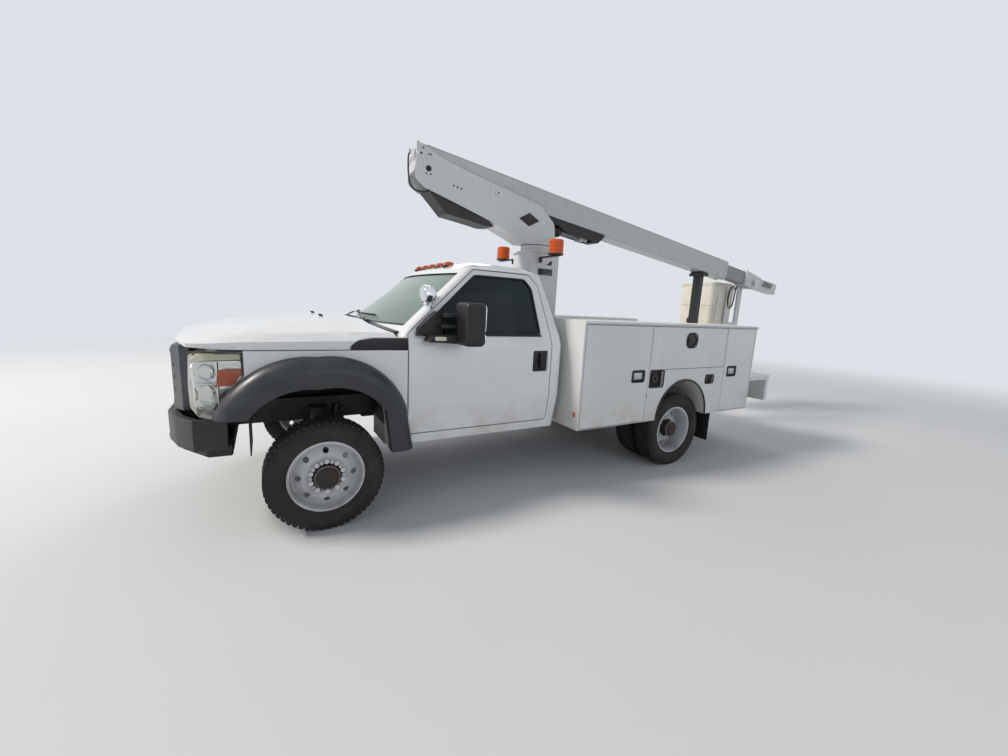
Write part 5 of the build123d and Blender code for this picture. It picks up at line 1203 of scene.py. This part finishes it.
def hoses():
    """The loop at the turret's front end, and two runs from the bracket down beside the bucket."""
    hose("turret_hose", "turret", ((-868, 60, 2960), (-846, 96, 2956), (-838, 112, 2850), (-842, 118, 2740),
                                   (-872, 120, 2650), (-960, 118, 2632), (-1040, 108, 2660),
                                   (-1072, 90, 2700)), 15)
    hose("bracket_hose_low", "platform", ((-6300, -60, 2150), (-6270, -86, 2120), (-6262, -104, 2000),
                                          (-6275, -110, 1880), (-6310, -120, 1800), (-6330, -150, 1790)),
         22)
    hose("bracket_hose_high", "platform", ((-6400, -60, 2150), (-6420, -90, 2130), (-6432, -108, 2010),
                                           (-6425, -112, 1880), (-6400, -120, 1800), (-6385, -150, 1790)),
         22)


def boom_rest():
    bm = bmesh.new()
    add_prism(bm, [(-5348, 2258), (-5348, 2269), (-5232, 2283), (-5232, 2258)], -96, 96, bevel=2)
    finished("boom_rest_pad", bm, SEAL_RUBBER)


# Cab inside and chassis below

def add_pad(bm, lo, hi, crown, channels, face):
    """A stuffed pad: crowned on one face, drawn in at its sides, with sewn channels across that face.
    face is the axis that the crowned face looks along."""
    bmesh.ops.create_cube(bm, size=2.0)
    bmesh.ops.subdivide_edges(bm, edges=bm.edges[:], cuts=36, use_grid_fill=True)
    verts = bm.verts[:]
    middle, half = (Vector(lo) + Vector(hi)) / 2, (Vector(hi) - Vector(lo)) / 2
    others = [axis for axis in range(3) if axis != face]
    for v in verts:
        u, w = v.co[others[0]], v.co[others[1]]
        out = v.co[face]
        swell = (1 - u * u) * (1 - w * w)
        seam = sum(math.exp(-((w - channel) * half[others[1]] / 14) ** 2) for channel in channels)
        v.co = Vector([middle[k] + v.co[k] * half[k] for k in range(3)])
        v.co[face] += max(out, 0.0) * (crown * swell - 9 * seam * (1 - u ** 8))
        v.co[others[0]] -= 10 * u * (1 - w * w)
        v.co[others[1]] -= 10 * w * (1 - u * u)
    for step in range(5):
        bmesh.ops.smooth_vert(bm, verts=verts, factor=0.5, use_axis_x=True, use_axis_y=True, use_axis_z=True)


def bench():
    """Bench seat: sewn cushion and back in grey cloth, piping round the cushion, on a moulded base."""
    channels = (-0.9, -0.62, -0.34, -0.1, 0.1, 0.34, 0.62, 0.9)
    for name, lo, hi, face in (("seat_cushion", (-1800, -758, 1000), (-1182, 758, 1122), 2),
                               ("seat_back", (-1885, -758, 1095), (-1800, 758, 1660), 0)):
        bm = bmesh.new()
        add_pad(bm, lo, hi, 18, channels, face)
        pad = finished(name, bm, SEAT_CLOTH, replaces=("bench_seat",), degrees=60)
    bm = bmesh.new()
    for z in (1012, 1108):
        edge = rounded(-1792, -1190, -750, 750, 40)
        add_tube(bm, [(x, y, z) for x, y in edge], 4, 6, loop=True)
    finished("seat_piping", bm, SEAL_RUBBER)
    bm = bmesh.new()
    add_prism(bm, [(-1790, 888), (-1250, 888), (-1215, 1004), (-1800, 1004)], -700, 700, bevel=12)
    finished("seat_base", bm, CABIN_PLASTIC)


def interior():
    bm = bmesh.new()
    hub = faced((-985, 420, 1345), (-1, 0, 0.55))
    turns = [math.pi * i / 24 for i in range(48)]
    wheel = [hub @ Vector((190 * math.cos(t), 190 * math.sin(t), 0)) for t in turns]
    add_tube(bm, wheel, 14, 10, loop=True)
    add_lathe(bm, [(-60, 30), (-20, 60), (4, 66), (12, 50), (14, 0)], hub, 28)
    for turn in (90, 210, 330):
        t = math.radians(turn)
        add_tube(bm, [hub @ Vector((40 * math.cos(t), 40 * math.sin(t), -8)),
                      hub @ Vector((186 * math.cos(t), 186 * math.sin(t), 0))], 12, 8, flat=1.8)
    add_tube(bm, [hub @ Vector((0, 0, -20)), hub @ Vector((0, 0, -240))], 34, 14)
    finished("steering_wheel", bm, BLACK_PLASTIC)
    bm = bmesh.new()
    for sign in (1, -1):
        visor = corner_rounded(((-1240, 1868), (-1230, 1882), (-1070, 1858), (-1075, 1846)), 6)
        add_prism(bm, visor, sign * 160, sign * 560, bevel=5)
    place = Matrix.Translation((-1085, 0, 1800))
    add_prism(bm, rounded(-120, 120, -36, 36, 24), -12, 12, "X", bevel=6, place=place)
    add_tube(bm, [(-1080, 0, 1830), (-1095, 0, 1876)], 10, 8)
    finished("visors_and_mirror", bm, CABIN_PLASTIC)


def chassis_details():
    """U-bolts over the springs, and shock absorbers."""
    bm = bmesh.new()
    for x, z_top, z_low in ((0, 520, 330), (REAR_X, 560, 300)):
        for sign in (1, -1):
            for dx in (-62, 62):
                near, far = sign * SPRING_Y - 42, sign * SPRING_Y + 42
                corners = ((near, z_low), (near, z_top), (far, z_top), (far, z_low))
                bow = [(x + dx, y, z) for y, z in corners]
                add_tube(bm, bow, 8, 8)
                nuts = grown(ROW, PIN_STEEL, count=2, step=(0, 84, 0), block=(24, 24, 18), turn=(0, 0, 0.4))
                add_mesh(bm, nuts, (x + dx, near, z_low + 4))
    finished("spring_u_bolts", bm, WORN_STEEL)
    bm = bmesh.new()
    for x, dx in ((0, -150), (REAR_X, 170)):
        for sign in (1, -1):
            foot, head = Vector((x + dx * 0.6, sign * 520, 380)), Vector((x + dx, sign * 470, 790))
            add_lathe(bm, [(0, 0), (0, 24), (200, 24), (206, 32), (400, 32), (404, 10), (410, 0)],
                      faced(foot, head - foot), 20)
    finished("shock_absorbers", bm, FRAME_BLACK)


# Studio

CAMERA_PLACE = (3.5256, 4.028, 1.677)
CAMERA_YAW, CAMERA_PITCH, CAMERA_ROLL = math.radians(30.37), math.radians(9.94), math.radians(2.96)
FOCAL_PX, IMAGE_W = 410.7, 1008.0


def photo_camera():
    """The photograph's camera: its place, angle and lens."""
    ahead = Vector((-math.sin(CAMERA_YAW), -math.cos(CAMERA_YAW), 0))
    right = Vector((-math.cos(CAMERA_YAW), math.sin(CAMERA_YAW), 0))
    up = Vector((0, 0, 1))
    look = math.cos(CAMERA_PITCH) * ahead - math.sin(CAMERA_PITCH) * up
    tall = math.sin(CAMERA_PITCH) * ahead + math.cos(CAMERA_PITCH) * up
    side = math.cos(CAMERA_ROLL) * right + math.sin(CAMERA_ROLL) * tall
    top = -math.sin(CAMERA_ROLL) * right + math.cos(CAMERA_ROLL) * tall
    camera = bpy.data.objects.new("camera", bpy.data.cameras.new("camera"))
    bpy.context.scene.collection.objects.link(camera)
    camera.matrix_world = Matrix.Translation(CAMERA_PLACE) @ Matrix((side, top, -look)).transposed().to_4x4()
    camera.data.sensor_width = 36.0
    camera.data.lens = 36.0 * FOCAL_PX / IMAGE_W
    camera.data.clip_end = 400.0
    bpy.context.scene.camera = camera


def lamp(name, place, target, size, watts, colour="#ffffff"):
    light = bpy.data.lights.new(name, "AREA")
    light.energy = watts
    light.size = size
    light.color = linear(colour)[:3]
    obj = bpy.data.objects.new(name, light)
    bpy.context.scene.collection.objects.link(obj)
    obj.location = place
    obj.rotation_euler = (Vector(target) - Vector(place)).to_track_quat("-Z", "Y").to_euler()


def studio():
    """A pale floor, three soft lamps, and a world that is brightest to the camera, in mirrors and through
    glass."""
    bm = bmesh.new()
    bmesh.ops.create_grid(bm, x_segments=1, y_segments=1, size=120.0)
    mesh = bpy.data.meshes.new("floor")
    bm.to_mesh(mesh)
    bm.free()
    floor = bpy.data.objects.new("floor", mesh)
    bpy.context.scene.collection.objects.link(floor)
    material, tree, shader, place = new_material("pale_floor")
    cloud = add(tree, NOISE, {}, Vector=place, Scale=1 / 1.5, Detail=3.0)
    patch = add(tree, RANGE, SMOOTH, i0=cloud, i1=0.3, i2=0.7, i3=0.0, i4=0.2)
    shade = add(tree, MIX, COLOURS, i0=patch, i6="#d8dadc", i7="#cfd1d3")
    set_inputs(tree, shader, Base_Color=shade.outputs[2], Roughness=0.9)
    away = add(tree, "ShaderNodeVectorMath", {"operation": "LENGTH"}, i0=place)
    fade = add(tree, RANGE, SMOOTH, i0=away.outputs["Value"], i1=7.0, i2=17.0, i3=0.0, i4=1.0)
    haze = add(tree, "ShaderNodeEmission", {}, Color="#dde2e8", Strength=1.0)
    both = add(tree, "ShaderNodeMixShader", {}, i0=fade, i1=shader, i2=haze)
    show(tree, both)
    mesh.materials.append(material)
    lamp("key_light", (20.0, -4.0, 17.0), (0, 0, 1.0), 5.0, 5200.0, "#fff8ef")
    lamp("side_light", (-2.0, 13.0, 5.0), (0, 0, 1.0), 8.0, 130.0, "#eef3ff")
    lamp("rim_light", (-4.0, -10.0, 9.0), (0, 0, 1.0), 7.0, 450.0)
    world = bpy.data.worlds.new("studio")
    bpy.context.scene.world = world
    world.use_nodes = True
    tree = world.node_tree
    tree.nodes.clear()
    ray = add(tree, "ShaderNodeLightPath", {})
    seen = add(tree, MATH, LARGER, i0=ray.outputs["Is Camera Ray"], i1=ray.outputs["Is Glossy Ray"])
    through = add(tree, MATH, LARGER, i0=seen, i1=ray.outputs["Is Transmission Ray"])
    strength = add(tree, RANGE, {}, i0=through, i1=0.0, i2=1.0, i3=0.46, i4=1.0)
    backdrop = add(tree, "ShaderNodeBackground", {}, Color="#dde2e8", Strength=strength)
    add(tree, "ShaderNodeOutputWorld", {}, Surface=backdrop)


for side, sign in SIDES:
    wheels(side, sign)
    doors(side, sign)
    lockers(side, sign)
for build in (headlamps, grille, bumper, vents, wipers, spotlight, amber_lamps, service_body, rear_end,
              pedestal, turret, booms, boom_tip, cylinder, bucket, hoses, boom_rest, bench, interior,
              chassis_details, photo_camera, studio):
    build()
bpy.context.scene.view_settings.view_transform = "Standard"
